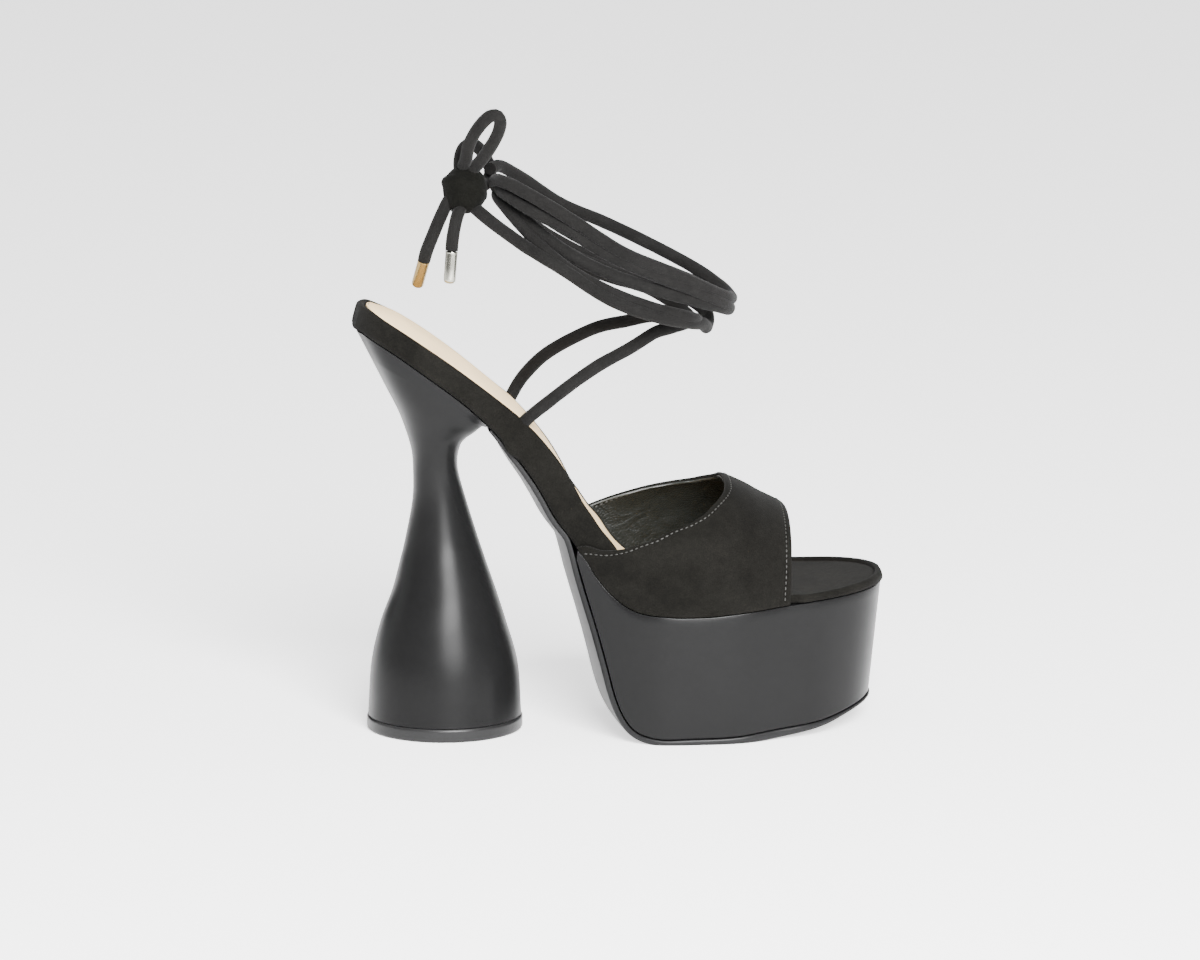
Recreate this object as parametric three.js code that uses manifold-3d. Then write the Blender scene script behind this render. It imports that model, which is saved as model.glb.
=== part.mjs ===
// Platform sandal with a waisted heel and ankle ties, right shoe, in millimetres.
// X runs from heel to toe, Y to the inner side of the foot, Z up from the floor.
import * as THREE from "three";
import { mergeVertices } from "three/addons/utils/BufferGeometryUtils.js";
import Module from "manifold-3d";

const wasm = await Module();
wasm.setup();

const LENGTH = 206.4; // heel back to toe tip
const WIDTH = 85.2; // across the platform at the ball
const SEAT_HEIGHT = 168; // floor to the footbed's rim at the heel
const FOOTBED_DEPTH = 12; // footbed edge at its thickest
const EDGE_ROUND = 1.2; // rounding of the footbed's rim
const SOCK_THICKNESS = 1.3;
const SOCK_INSET = 2.3; // bare rim left beside the sock
const HEEL_PAD = 2.2; // how far the sock swells over the heel
const VAMP_WALL = 1.6;
const GAP = 0.3; // room between neighbouring pieces
const SOLE_THICKNESS = 3.2; // outsole at its thickest
const SOLE_BELLY = 1.9; // how far the outsole bulges under the waist
const HEEL_BASE = 60.6; // across the round top piece
const TOP_PIECE = 5.5; // height of the top piece
const CORD = 5; // tie cord
const AGLET = 4.7; // across a metal end
const AGLET_LENGTH = 12.4;
const KNOT = 18.8; // across the bow's knot
const STATIONS = 46; // steps along each outline
const HEEL_SIDES = 30; // points round each ring of the heel

// Footbed rim in side view: place along, rise and depth of the edge.
const FOOTBED = [
  { along: -0.4893, rise: 1.0, depth: 0.81 },
  { along: -0.472, rise: 0.994, depth: 0.78 },
  { along: -0.4535, rise: 0.981, depth: 0.76 },
  { along: -0.404, rise: 0.9446, depth: 0.74 },
  { along: -0.3362, rise: 0.887, depth: 0.76 },
  { along: -0.2742, rise: 0.829, depth: 0.77 },
  { along: -0.2248, rise: 0.78, depth: 0.85 },
  { along: -0.1938, rise: 0.7475, depth: 0.93 },
  { along: -0.1599, rise: 0.7024, depth: 0.97 },
  { along: -0.124, rise: 0.644, depth: 1.0 },
  { along: -0.1003, rise: 0.594, depth: 1.0 },
  { along: -0.0843, rise: 0.5548, depth: 0.98 },
  { along: -0.0669, rise: 0.5232, depth: 0.96 },
  { along: -0.0494, rise: 0.491, depth: 0.96 },
  { along: -0.03, rise: 0.4625, depth: 0.98 },
  { along: 0.0, rise: 0.4077, depth: 0.99 },
  { along: 0.0339, rise: 0.3679, depth: 0.9 },
  { along: 0.0775, rise: 0.3405, depth: 0.56 },
  { along: 0.1454, rise: 0.3292, depth: 0.39 },
  { along: 0.2132, rise: 0.3315, depth: 0.33 },
  { along: 0.3, rise: 0.3357, depth: 0.28 },
  { along: 0.36, rise: 0.3381, depth: 0.24 },
  { along: 0.43, rise: 0.3436, depth: 0.265 },
  { along: 0.4985, rise: 0.349, depth: 0.295 },
];

// Plan of the shoe: middle line and half width before the ends are rounded.
const PLAN = [
  { along: -0.5, middle: 0.0235, half: 0.329 },
  { along: -0.36, middle: 0.0235, half: 0.329 },
  { along: -0.27, middle: 0.019, half: 0.32 },
  { along: -0.194, middle: 0.009, half: 0.303 },
  { along: -0.097, middle: -0.012, half: 0.311 },
  { along: -0.039, middle: -0.029, half: 0.358 },
  { along: 0.01, middle: -0.038, half: 0.408 },
  { along: 0.058, middle: -0.035, half: 0.452 },
  { along: 0.121, middle: -0.018, half: 0.481 },
  { along: 0.184, middle: -0.001, half: 0.498 },
  { along: 0.233, middle: 0.009, half: 0.49 },
  { along: 0.3, middle: 0.026, half: 0.449 },
  { along: 0.363, middle: 0.028, half: 0.426 },
  { along: 0.426, middle: 0.047, half: 0.417 },
  { along: 0.5, middle: 0.076, half: 0.434 },
];
const HEEL_ROUND_FROM = -0.37; // shares of the length where the ends start to round
const TOE_ROUND_FROM = 0.3;

// Platform's underside in side view, from its back edge down to the floor and out to the toe.
const UNDERSIDE = [
  { along: -0.0955, rise: 0.427, sole: 0.69 },
  { along: -0.0736, rise: 0.332, sole: 0.69 },
  { along: -0.0562, rise: 0.258, sole: 0.69 },
  { along: -0.0388, rise: 0.177, sole: 0.69 },
  { along: -0.0233, rise: 0.103, sole: 0.69 },
  { along: -0.0078, rise: 0.0583, sole: 0.69 },
  { along: 0.0116, rise: 0.0298, sole: 0.72 },
  { along: 0.047, rise: 0.0155, sole: 0.75 },
  { along: 0.121, rise: 0.0155, sole: 0.75 },
  { along: 0.194, rise: 0.0172, sole: 0.78 },
  { along: 0.252, rise: 0.0232, sole: 1 },
  { along: 0.31, rise: 0.0292, sole: 0.9 },
  { along: 0.373, rise: 0.0369, sole: 0.66 },
  { along: 0.426, rise: 0.0512, sole: 0.4 },
  { along: 0.4815, rise: 0.0667, sole: 0.32 },
];
const WALL_PAIRS = [
  { upper: 0, lower: 0 },
  { upper: 0.27, lower: 0.45 },
  { upper: 0.69, lower: 0.77 },
  { upper: 1, lower: 1 },
];

// Heel outline in side view: back and breast points of each ring, its half width
// across the foot, and how squared and how seat-shaped the ring is.
const HEEL = [
  { back: -0.4753, backRise: TOP_PIECE / SEAT_HEIGHT, breast: -0.1861, breastRise: TOP_PIECE / SEAT_HEIGHT, half: 0.3485, square: 2, seat: 0 },
  { back: -0.4692, backRise: 0.152, breast: -0.1926, breastRise: 0.152, half: 0.321, square: 2, seat: 0 },
  { back: -0.452, backRise: 0.247, breast: -0.2138, breastRise: 0.247, half: 0.281, square: 2, seat: 0 },
  { back: -0.4289, backRise: 0.324, breast: -0.2333, breastRise: 0.324, half: 0.238, square: 2, seat: 0 },
  { back: -0.4148, backRise: 0.39, breast: -0.2515, breastRise: 0.39, half: 0.202, square: 2, seat: 0 },
  { back: -0.4046, backRise: 0.4417, breast: -0.2705, breastRise: 0.462, half: 0.168, square: 2, seat: 0 },
  { back: -0.3902, backRise: 0.5357, breast: -0.2937, breastRise: 0.5565, half: 0.136, square: 2.05, seat: 0 },
  { back: -0.3886, backRise: 0.6048, breast: -0.3038, breastRise: 0.6048, half: 0.131, square: 2.1, seat: 0 },
  { back: -0.3913, backRise: 0.6515, breast: -0.3049, breastRise: 0.6393, half: 0.145, square: 2.15, seat: 0.05 },
  { back: -0.4014, backRise: 0.698, breast: -0.2991, breastRise: 0.669, half: 0.176, square: 2.25, seat: 0.15 },
  { back: -0.4174, backRise: 0.75, breast: -0.29, breastRise: 0.686, half: 0.216, square: 2.4, seat: 0.35 },
  { back: -0.4427, backRise: 0.812, breast: -0.2775, breastRise: 0.7015, half: 0.258, square: 2.6, seat: 0.6 },
  { back: -0.4706, backRise: 0.881, breast: -0.2635, breastRise: 0.722, half: 0.292, square: 2.9, seat: 0.85 },
];
const SEAT_BACK = -0.4945; // heel's seat under the footbed, back to breast
const SEAT_BREAST = -0.256;

// Vamp crown in side view.
const CROWN = [
  { along: -0.12, rise: 0.592 },
  { along: 0.03, rise: 0.604 },
  { along: 0.12, rise: 0.602 },
  { along: 0.192, rise: 0.583 },
  { along: 0.2374, rise: 0.559 },
  { along: 0.269, rise: 0.536 },
  { along: 0.3, rise: 0.516 },
  { along: 0.3205, rise: 0.501 },
];
// Vamp edges by angle round the foot, 0 at the outer side and 180 at the inner side.
const VAMP_EDGE = [
  { angle: 0, throat: -0.095, front: 0.3023 },
  { angle: 6.5, throat: -0.082, front: 0.3033 },
  { angle: 13, throat: -0.065, front: 0.3045 },
  { angle: 19.6, throat: -0.038, front: 0.3057 },
  { angle: 25, throat: -0.0107, front: 0.3065 },
  { angle: 28.5, throat: 0.0111, front: 0.307 },
  { angle: 32, throat: 0.0417, front: 0.3076 },
  { angle: 36.7, throat: 0.0736, front: 0.3085 },
  { angle: 40.3, throat: 0.1056, front: 0.3091 },
  { angle: 46.6, throat: 0.138, front: 0.3101 },
  { angle: 55.3, throat: 0.1628, front: 0.3115 },
  { angle: 64, throat: 0.181, front: 0.3128 },
  { angle: 72, throat: 0.191, front: 0.3138 },
  { angle: 82, throat: 0.195, front: 0.315 },
  { angle: 92, throat: 0.1965, front: 0.316 },
  { angle: 101, throat: 0.1955, front: 0.316 },
  { angle: 115, throat: 0.1885, front: 0.316 },
  { angle: 125.3, throat: 0.1555, front: 0.315 },
  { angle: 129.3, throat: 0.127, front: 0.3145 },
  { angle: 134.7, throat: 0.06, front: 0.3135 },
  { angle: 139, throat: 0.0165, front: 0.313 },
  { angle: 143, throat: -0.0095, front: 0.312 },
  { angle: 151.5, throat: -0.0445, front: 0.31 },
  { angle: 162, throat: -0.0705, front: 0.3085 },
  { angle: 172, throat: -0.086, front: 0.307 },
  { angle: 180, throat: -0.095, front: 0.306 },
];
const VAMP_SQUARE = 2.3; // how squared the vamp's arch is
const VAMP_ROWS = 9;

// Ring of tie turns: middle, reach and half width.
const RING = { along: -0.01, across: 0.0235, reach: 0.223, half: 0.352 };
// Each tie's way from its anchor to the ring.
const OUTER_LEAD = [
  { along: -0.2169, across: -0.336, rise: 0.67 },
  { along: -0.2082, across: -0.346, rise: 0.702 },
  { along: -0.199, across: -0.354, rise: 0.728 },
  { along: -0.1858, across: -0.343, rise: 0.7495 },
  { along: -0.145, across: -0.293, rise: 0.7912 },
  { along: -0.094, across: -0.235, rise: 0.8309 },
  { along: -0.0451, across: -0.188, rise: 0.8648 },
  { along: 0.0138, across: -0.129, rise: 0.8964 },
  { along: 0.0634, across: -0.07, rise: 0.926 },
  { along: 0.1006, across: 0, rise: 0.9316 },
  { along: 0.1367, across: 0.082, rise: 0.939 },
];
const INNER_LEAD = [
  { along: -0.2169, across: 0.35, rise: 0.67 },
  { along: -0.2095, across: 0.357, rise: 0.705 },
  { along: -0.2026, across: 0.365, rise: 0.7295 },
  { along: -0.1934, across: 0.35, rise: 0.7491 },
  { along: -0.1753, across: 0.317, rise: 0.7835 },
  { along: -0.141, across: 0.27, rise: 0.8367 },
  { along: -0.1123, across: 0.229, rise: 0.8669 },
  { along: -0.0818, across: 0.188, rise: 0.8919 },
  { along: -0.0314, across: 0.129, rise: 0.9247 },
  { along: 0.017, across: 0.07, rise: 0.9418 },
  { along: 0.0578, across: 0.012, rise: 0.9572 },
  { along: 0.101, across: -0.05, rise: 0.959 },
  { along: 0.138, across: -0.11, rise: 0.958 },
];
// Turns round the ankle: angle, how far outside the ring in cord widths, and rise.
const OUTER_TURNS = [
  { turn: -45, out: -1.2, rise: 0.953 },
  { turn: -67, out: -1.1, rise: 0.998 },
  { turn: -90, out: -1, rise: 1.026 },
  { turn: -120, out: -0.8, rise: 1.089 },
  { turn: -150, out: -0.9, rise: 1.174 },
  { turn: -180, out: -0.9, rise: 1.222 },
  { turn: -210, out: -0.8, rise: 1.205 },
  { turn: -240, out: -0.4, rise: 1.137 },
  { turn: -270, out: -0.4, rise: 1.074 },
  { turn: -300, out: -0.4, rise: 1.028 },
  { turn: -330, out: -0.3, rise: 0.992 },
  { turn: -360, out: -0.3, rise: 0.971 },
  { turn: -390, out: -0.4, rise: 0.98 },
  { turn: -420, out: -0.6, rise: 1.008 },
  { turn: -450, out: -0.6, rise: 1.051 },
  { turn: -480, out: -0.6, rise: 1.12 },
  { turn: -510, out: -0.4, rise: 1.2 },
  { turn: -540, out: 0, rise: 1.276 },
  { turn: -570, out: 0.2, rise: 1.281 },
  { turn: -600, out: 0.2, rise: 1.228 },
  { turn: -630, out: 0.2, rise: 1.138 },
  { turn: -660, out: 0.1, rise: 1.074 },
  { turn: -690, out: 0, rise: 1.018 },
  { turn: -720, out: -0.1, rise: 0.998 },
  { turn: -750, out: 0, rise: 1.024 },
  { turn: -780, out: 0.24, rise: 1.077 },
  { turn: -810, out: 0, rise: 1.146 },
  { turn: -840, out: 0, rise: 1.212 },
  { turn: -868, out: 0, rise: 1.293 },
  { turn: -890, out: 0.4, rise: 1.3 },
];
const INNER_TURNS = [
  { turn: 50, out: -0.8, rise: 0.973 },
  { turn: 75, out: -0.4, rise: 1.005 },
  { turn: 100, out: 0, rise: 1.055 },
  { turn: 125, out: 0, rise: 1.122 },
  { turn: 150, out: -0.4, rise: 1.198 },
  { turn: 180, out: -0.2, rise: 1.242 },
  { turn: 210, out: -0.4, rise: 1.226 },
  { turn: 240, out: -0.6, rise: 1.15 },
  { turn: 270, out: -0.6, rise: 1.083 },
  { turn: 300, out: -0.6, rise: 1.041 },
  { turn: 330, out: -0.4, rise: 1.003 },
  { turn: 360, out: -0.3, rise: 0.975 },
  { turn: 390, out: 0, rise: 1.003 },
  { turn: 420, out: 0, rise: 1.056 },
  { turn: 450, out: 0, rise: 1.115 },
  { turn: 480, out: 0, rise: 1.188 },
  { turn: 510, out: 0, rise: 1.235 },
  { turn: 540, out: -0.4, rise: 1.252 },
  { turn: 570, out: -0.8, rise: 1.19 },
  { turn: 600, out: -1, rise: 1.1 },
  { turn: 630, out: -1.1, rise: 1.043 },
  { turn: 655, out: -1.1, rise: 1 },
  { turn: 680, out: -1.1, rise: 0.977 },
  { turn: 700, out: -1.35, rise: 0.955 },
  { turn: 720, out: -2, rise: 0.93 },
  { turn: 750, out: -1.6, rise: 0.949 },
  { turn: 780, out: -0.6, rise: 0.969 },
  { turn: 810, out: 0.2, rise: 1.015 },
  { turn: 840, out: 0.4, rise: 1.103 },
  { turn: 870, out: 0.4, rise: 1.167 },
  { turn: 880, out: 0.94, rise: 1.191 },
  { turn: 888, out: 1.34, rise: 1.206 },
  { turn: 893, out: 1.76, rise: 1.221 },
];
const TURN_STEP = 22.5;

// Bow at the back of the ring: knot, loops and ends.
const KNOT_AT = { along: -0.2897, across: 0.0, rise: 1.2607 };
const NEAR_LOOP = [
  { along: -0.2932, across: -0.02, rise: 1.3153 },
  { along: -0.2893, across: -0.055, rise: 1.3376 },
  { along: -0.2872, across: -0.085, rise: 1.3619 },
  { along: -0.2821, across: -0.115, rise: 1.3842 },
  { along: -0.2727, across: -0.145, rise: 1.4089 },
  { along: -0.2602, across: -0.17, rise: 1.4313 },
  { along: -0.2477, across: -0.185, rise: 1.4442 },
  { along: -0.2368, across: -0.19, rise: 1.4448 },
  { along: -0.2304, across: -0.183, rise: 1.4306 },
  { along: -0.2322, across: -0.165, rise: 1.4085 },
  { along: -0.2395, across: -0.14, rise: 1.3849 },
  { along: -0.2505, across: -0.105, rise: 1.3577 },
  { along: -0.2615, across: -0.07, rise: 1.3341 },
  { along: -0.2728, across: -0.03, rise: 1.3136 },
];
const FAR_LOOP = [
  { along: -0.2983, across: 0.02, rise: 1.304 },
  { along: -0.2974, across: 0.055, rise: 1.322 },
  { along: -0.2927, across: 0.09, rise: 1.34 },
  { along: -0.2822, across: 0.13, rise: 1.3515 },
  { along: -0.2678, across: 0.165, rise: 1.3507 },
  { along: -0.2532, across: 0.2, rise: 1.3361 },
  { along: -0.2429, across: 0.22, rise: 1.3156 },
  { along: -0.2358, across: 0.222, rise: 1.2958 },
  { along: -0.2351, across: 0.2, rise: 1.2789 },
  { along: -0.2423, across: 0.155, rise: 1.2669 },
  { along: -0.2492, across: 0.11, rise: 1.2618 },
  { along: -0.2644, across: 0.055, rise: 1.2662 },
];
const OUTER_END = [
  { along: -0.321, across: -0.02, rise: 1.2375 },
  { along: -0.3365, across: -0.03, rise: 1.201 },
  { along: -0.35, across: -0.035, rise: 1.162 },
  { along: -0.3628, across: -0.028, rise: 1.122 },
  { along: -0.3668, across: -0.008, rise: 1.1 },
];
const INNER_END = [
  { along: -0.303, across: -0.06, rise: 1.2155 },
  { along: -0.312, across: -0.08, rise: 1.182 },
  { along: -0.3165, across: -0.086, rise: 1.152 },
  { along: -0.3182, across: -0.09, rise: 1.127 },
];

// A table's column at one place, as a smooth line through its rows.
function along(rows, key, column, x) {
  const last = rows.length - 1;
  if (x <= rows[0][key]) return rows[0][column];
  if (x >= rows[last][key]) return rows[last][column];
  let i = 0;
  while (rows[i + 1][key] < x) i += 1;
  const slope = (j) => {
    const a = rows[Math.max(j - 1, 0)];
    const b = rows[Math.min(j + 1, last)];
    return (b[column] - a[column]) / (b[key] - a[key]);
  };
  const wide = rows[i + 1][key] - rows[i][key];
  return hermite((x - rows[i][key]) / wide, rows[i][column], rows[i + 1][column], slope(i) * wide, slope(i + 1) * wide);
}

function hermite(t, a, b, slopeA, slopeB) {
  const t2 = t * t;
  const t3 = t2 * t;
  return (2 * t3 - 3 * t2 + 1) * a + (t3 - 2 * t2 + t) * slopeA + (3 * t2 - 2 * t3) * b + (t3 - t2) * slopeB;
}

function place(row) {
  return new THREE.Vector3(row.along * LENGTH, (row.across ?? 0) * WIDTH, row.rise * SEAT_HEIGHT);
}

function smoothCurve(points) {
  return new THREE.CatmullRomCurve3(points, false, "centripetal");
}

function upOf(curve, u) {
  const t = curve.getTangentAt(Math.min(Math.max(u, 0), 1));
  return new THREE.Vector3(-t.z, 0, t.x);
}

// A side-view line that lies a given depth under another one.
function lineUnder(curve, depthAt, from = 0, to = 1) {
  const points = [];
  for (let i = 0; i <= 70; i += 1) {
    const u = from + ((to - from) * i) / 70;
    const p = curve.getPointAt(u);
    points.push(p.addScaledVector(upOf(curve, u), -depthAt(p.x, u)));
  }
  return smoothCurve(points);
}

const rim = smoothCurve(FOOTBED.map(place));
const edgeDepth = (x) => along(FOOTBED, "along", "depth", x / LENGTH) * FOOTBED_DEPTH;
const footbedUnder = lineUnder(rim, edgeDepth);

// Outer and inner edge of the shoe's plan at x, for a piece that ends at back and tip.
function planAt(x, back, tip) {
  const share = x < 0 ? (0.5 * x) / -back : (0.5 * x) / tip;
  const middle = along(PLAN, "along", "middle", share) * WIDTH;
  let half = along(PLAN, "along", "half", share) * WIDTH;
  const from = share < 0 ? HEEL_ROUND_FROM : TOE_ROUND_FROM;
  const into = Math.max(0, (share - from) / (Math.sign(from) * 0.5 - from));
  half *= Math.sqrt(Math.max(0, 1 - into * into));
  return [middle - half, middle + half];
}

// Share along a piece, with stations drawn together at its round ends.
function stationShare(j, roundStart) {
  const t = j / STATIONS;
  return roundStart ? (1 - Math.cos(Math.PI * t)) / 2 : Math.sin((Math.PI * t) / 2);
}

// One closed outline on a side-view line: out along the outer side, back along the inner one.
function outline(curve, { from = 0, to = 1, inset = () => 0, back, tip, share } = {}) {
  const size = curve.getLength();
  const start = back ?? curve.getPointAt(0).x;
  const end = tip ?? curve.getPointAt(1).x;
  const sides = [[], []];
  for (let j = 0; j <= STATIONS; j += 1) {
    const u = from + (to - from) * (share ? share(j) : stationShare(j, from === 0));
    const x = curve.getPointAt(u).x;
    planAt(x, start, end).forEach((y, side) => sides[side].push({ s: u * size, y, x }));
  }
  const loop = [...sides[0], ...sides[1].reverse()];
  const moved = loop.map((p, i) => {
    let a = loop[(i + loop.length - 1) % loop.length];
    let b = loop[(i + 1) % loop.length];
    if (Math.hypot(a.s - p.s, a.y - p.y) < 1e-6) a = loop[(i + loop.length - 2) % loop.length];
    if (Math.hypot(b.s - p.s, b.y - p.y) < 1e-6) b = loop[(i + 2) % loop.length];
    const amount = inset(p.x);
    if (Math.abs(a.s - p.s) < 1e-6 || Math.abs(b.s - p.s) < 1e-6) {
      const forwards = i === 0 || i === loop.length - 1 ? 1 : -1; // corner of an end cut straight across
      return { s: p.s + forwards * amount, y: p.y + (i <= STATIONS ? amount : -amount) };
    }
    const run = Math.hypot(b.s - a.s, b.y - a.y);
    return { s: p.s - ((b.y - a.y) / run) * amount, y: p.y + ((b.s - a.s) / run) * amount };
  });
  return moved.map((p) => {
    const u = Math.min(Math.max(p.s / size, 0), 1);
    const at = curve.getPointAt(u);
    return new THREE.Vector3(at.x, p.y, at.z);
  });
}

// Closed body from rings of equal count, its ends closed straight across the foot.
function body(rings, swell = {}) {
  const count = rings[0].length;
  const half = count / 2;
  const points = rings.flat();
  const faces = [];
  for (let r = 0; r + 1 < rings.length; r += 1) {
    for (let i = 0; i < count; i += 1) {
      const a = r * count + i;
      const b = r * count + ((i + 1) % count);
      faces.push([a, b, b + count], [a, b + count, a + count]);
    }
  }
  const cover = (ring, flip, height) => {
    const base = ring * count;
    const columns = height ? 6 : 1;
    const grid = [];
    for (let i = 0; i < half; i += 1) {
      const row = [base + i];
      const atEnd = i === 0 || i === half - 1;
      for (let c = 1; c < columns; c += 1) {
        const t = c / columns;
        const p = points[base + i].clone().lerp(points[base + count - 1 - i], t);
        if (atEnd) row.push(t < 0.5 ? base + i : base + count - 1 - i);
        else row.push(points.push(height(p, t)) - 1);
      }
      row.push(base + count - 1 - i);
      grid.push(row);
    }
    for (let i = 0; i + 1 < half; i += 1) {
      for (let c = 0; c < columns; c += 1) {
        const quad = [grid[i][c], grid[i + 1][c], grid[i + 1][c + 1], grid[i][c + 1]];
        const [p, q, r, s] = flip ? quad.reverse() : quad;
        faces.push([p, q, r], [p, r, s]);
      }
    }
  };
  cover(0, true, swell.first);
  cover(rings.length - 1, false, swell.last);
  return solid(points, faces);
}

// Points and faces as a solid that faces outwards.
function solid(points, faces) {
  const geometry = new THREE.BufferGeometry();
  geometry.setAttribute("position", new THREE.Float32BufferAttribute(points.flatMap((p) => [p.x, p.y, p.z]), 3));
  geometry.setIndex(faces.flat());
  return toSolid(geometry);
}

function toSolid(geometry) {
  const plain = geometry.clone();
  plain.deleteAttribute("normal");
  plain.deleteAttribute("uv");
  const merged = mergeVertices(plain, 1e-3);
  const kept = [];
  const index = merged.index.array;
  for (let i = 0; i < index.length; i += 3) {
    const [a, b, c] = [index[i], index[i + 1], index[i + 2]];
    if (a !== b && b !== c && c !== a) kept.push(a, b, c);
  }
  const vertProperties = new Float32Array(merged.attributes.position.array);
  const made = new wasm.Manifold(new wasm.Mesh({ numProp: 3, vertProperties, triVerts: new Uint32Array(kept) }));
  if (made.volume() > 0) return made;
  const turned = [];
  for (let i = 0; i < kept.length; i += 3) turned.push(kept[i], kept[i + 2], kept[i + 1]);
  return new wasm.Manifold(new wasm.Mesh({ numProp: 3, vertProperties, triVerts: new Uint32Array(turned) }));
}

function meshOf(name, made, colour, roughness, metalness = 0) {
  const data = made.getMesh();
  const geometry = new THREE.BufferGeometry();
  geometry.setAttribute("position", new THREE.BufferAttribute(new Float32Array(data.vertProperties), 3));
  geometry.setIndex(new THREE.BufferAttribute(new Uint32Array(data.triVerts), 1));
  geometry.computeVertexNormals();
  const mesh = new THREE.Mesh(geometry, new THREE.MeshStandardMaterial({ color: colour, roughness, metalness }));
  mesh.name = name;
  return mesh;
}

// Round cord along a curve.
function cordSolid(curve, width, stride, sides = 8) {
  const round = new THREE.Shape();
  for (let i = 0; i < sides; i += 1) {
    const a = (2 * Math.PI * i) / sides;
    const at = [(width / 2) * Math.cos(a), (width / 2) * Math.sin(a)];
    if (i === 0) round.moveTo(...at);
    else round.lineTo(...at);
  }
  const steps = Math.max(3, Math.round(curve.getLength() / (stride * width)));
  return toSolid(new THREE.ExtrudeGeometry(round, { steps, extrudePath: curve, bevelEnabled: false }));
}

const GROW = VAMP_WALL + GAP; // room left beside the footbed for the vamp

// How far the footbed draws in under the vamp.
function vampRoom(x) {
  const rear = THREE.MathUtils.smoothstep(x / LENGTH, -0.125, -0.1);
  const fore = 1 - THREE.MathUtils.smoothstep(x / LENGTH, 0.312, 0.334);
  return 0.2 + GROW * rear * fore;
}

function footbed() {
  const level = (depth, inset) => {
    const line = lineUnder(rim, (x) => depth * edgeDepth(x));
    return outline(line, { inset: (x) => vampRoom(x) + inset });
  };
  const deepest = level(1, 0.5);
  return body([
    deepest,
    level(0.82, 0),
    level(0.35, -0.1),
    level(0.12, 0.15 * EDGE_ROUND),
    level(0.03, 0.5 * EDGE_ROUND),
    level(0, 1.1 * EDGE_ROUND),
  ]);
}

// Cream sock on the footbed, from the heel to just under the vamp.
function sock() {
  const from = 0.004;
  const to = 0.78;
  const share = (j) => (1 - Math.cos((Math.PI * j) / STATIONS)) / 2;
  const layer = (height, inset) => {
    const line = lineUnder(rim, () => -height, from, to);
    const tip = line.getPointAt(1).x;
    return outline(line, { inset: (x) => vampRoom(x) + SOCK_INSET + inset, share, tip: tip + 0.18 * LENGTH });
  };
  const pad = (p, t) => {
    const inHeel = 1 - THREE.MathUtils.smoothstep(p.x / LENGTH, -0.36, -0.08);
    const inBack = THREE.MathUtils.smoothstep(p.x / LENGTH, -0.49, -0.42);
    const lift = HEEL_PAD * 4 * t * (1 - t) * inHeel * inBack;
    return new THREE.Vector3(p.x + 0.5 * lift, p.y, p.z + 0.85 * lift);
  };
  return body([layer(GAP, 0), layer(0.7 * SOCK_THICKNESS, -0.1), layer(SOCK_THICKNESS, 0.3)], { last: pad });
}

// Share along a side-view line at which it reaches x.
function shareAt(curve, x) {
  let low = 0;
  let high = 1;
  for (let i = 0; i < 24; i += 1) {
    const mid = (low + high) / 2;
    if (curve.getPointAt(mid).x < x) low = mid;
    else high = mid;
  }
  return low;
}

const platformFrom = shareAt(footbedUnder, (UNDERSIDE[0].along + 0.004) * LENGTH);
const seatFrom = shareAt(footbedUnder, SEAT_BACK * LENGTH);
const seatTo = shareAt(footbedUnder, SEAT_BREAST * LENGTH);
const platformTop = lineUnder(footbedUnder, () => GAP, platformFrom, 1);
const platformUnder = smoothCurve(UNDERSIDE.map(place));

function platform() {
  const shares = (key) => (j) => {
    const t = stationShare(j, false);
    return along(WALL_PAIRS.map((row) => ({ t: row.upper, v: row[key] })), "t", "v", t);
  };
  const back = rim.getPointAt(0).x;
  const topTip = platformTop.getPointAt(1).x;
  const upper = outline(platformTop, { back, tip: topTip, share: shares("upper") });
  const lower = outline(platformUnder, {
    back,
    tip: platformUnder.getPointAt(1).x,
    share: shares("lower"),
    inset: () => 0.8,
  });
  return body([lower, upper]);
}

// Outsole: one sheet from the heel breast, down the shank and the platform's back, to the toe.
function outsole() {
  const shank = lineUnder(footbedUnder, () => GAP, seatTo, platformFrom - 0.02).getSpacedPoints(14);
  const under = lineUnder(platformUnder, () => 1.5 * GAP, 0.05, 1).getSpacedPoints(40);
  const upper = smoothCurve([...shank, ...under]);
  const thick = (x) => along(UNDERSIDE, "along", "sole", x / LENGTH) * SOLE_THICKNESS;
  const lower = lineUnder(upper, (x, u) => thick(x) * Math.min(1, 0.45 + 9 * u));
  const share = (j) => {
    const t = j / STATIONS;
    return t < 0.75 ? t * 1.06 : 0.795 + 0.205 * Math.sin((((t - 0.75) / 0.25) * Math.PI) / 2);
  };
  const back = rim.getPointAt(0).x;
  const inShank = (x) => 1 - THREE.MathUtils.smoothstep(x / LENGTH, -0.1, -0.04);
  const draw = (line, more) =>
    outline(line, { back, tip: line.getPointAt(1).x, share, inset: (x) => 0.6 + 1.9 * inShank(x) + more });
  const belly = (p, t) => {
    const amount = SOLE_BELLY * (1 - THREE.MathUtils.smoothstep(p.x / LENGTH, -0.03, 0.03)) * 4 * t * (1 - t);
    const breast = THREE.MathUtils.smoothstep(p.x / LENGTH, SEAT_BREAST, SEAT_BREAST + 0.06);
    return new THREE.Vector3(p.x - 0.88 * amount * breast, p.y, Math.max(0, p.z - 0.45 * amount * breast));
  };
  const onFloor = draw(lower, 0.2).map((p) => new THREE.Vector3(p.x, p.y, Math.max(0, p.z)));
  return body([onFloor, draw(upper, 0)], { first: belly });
}

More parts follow.
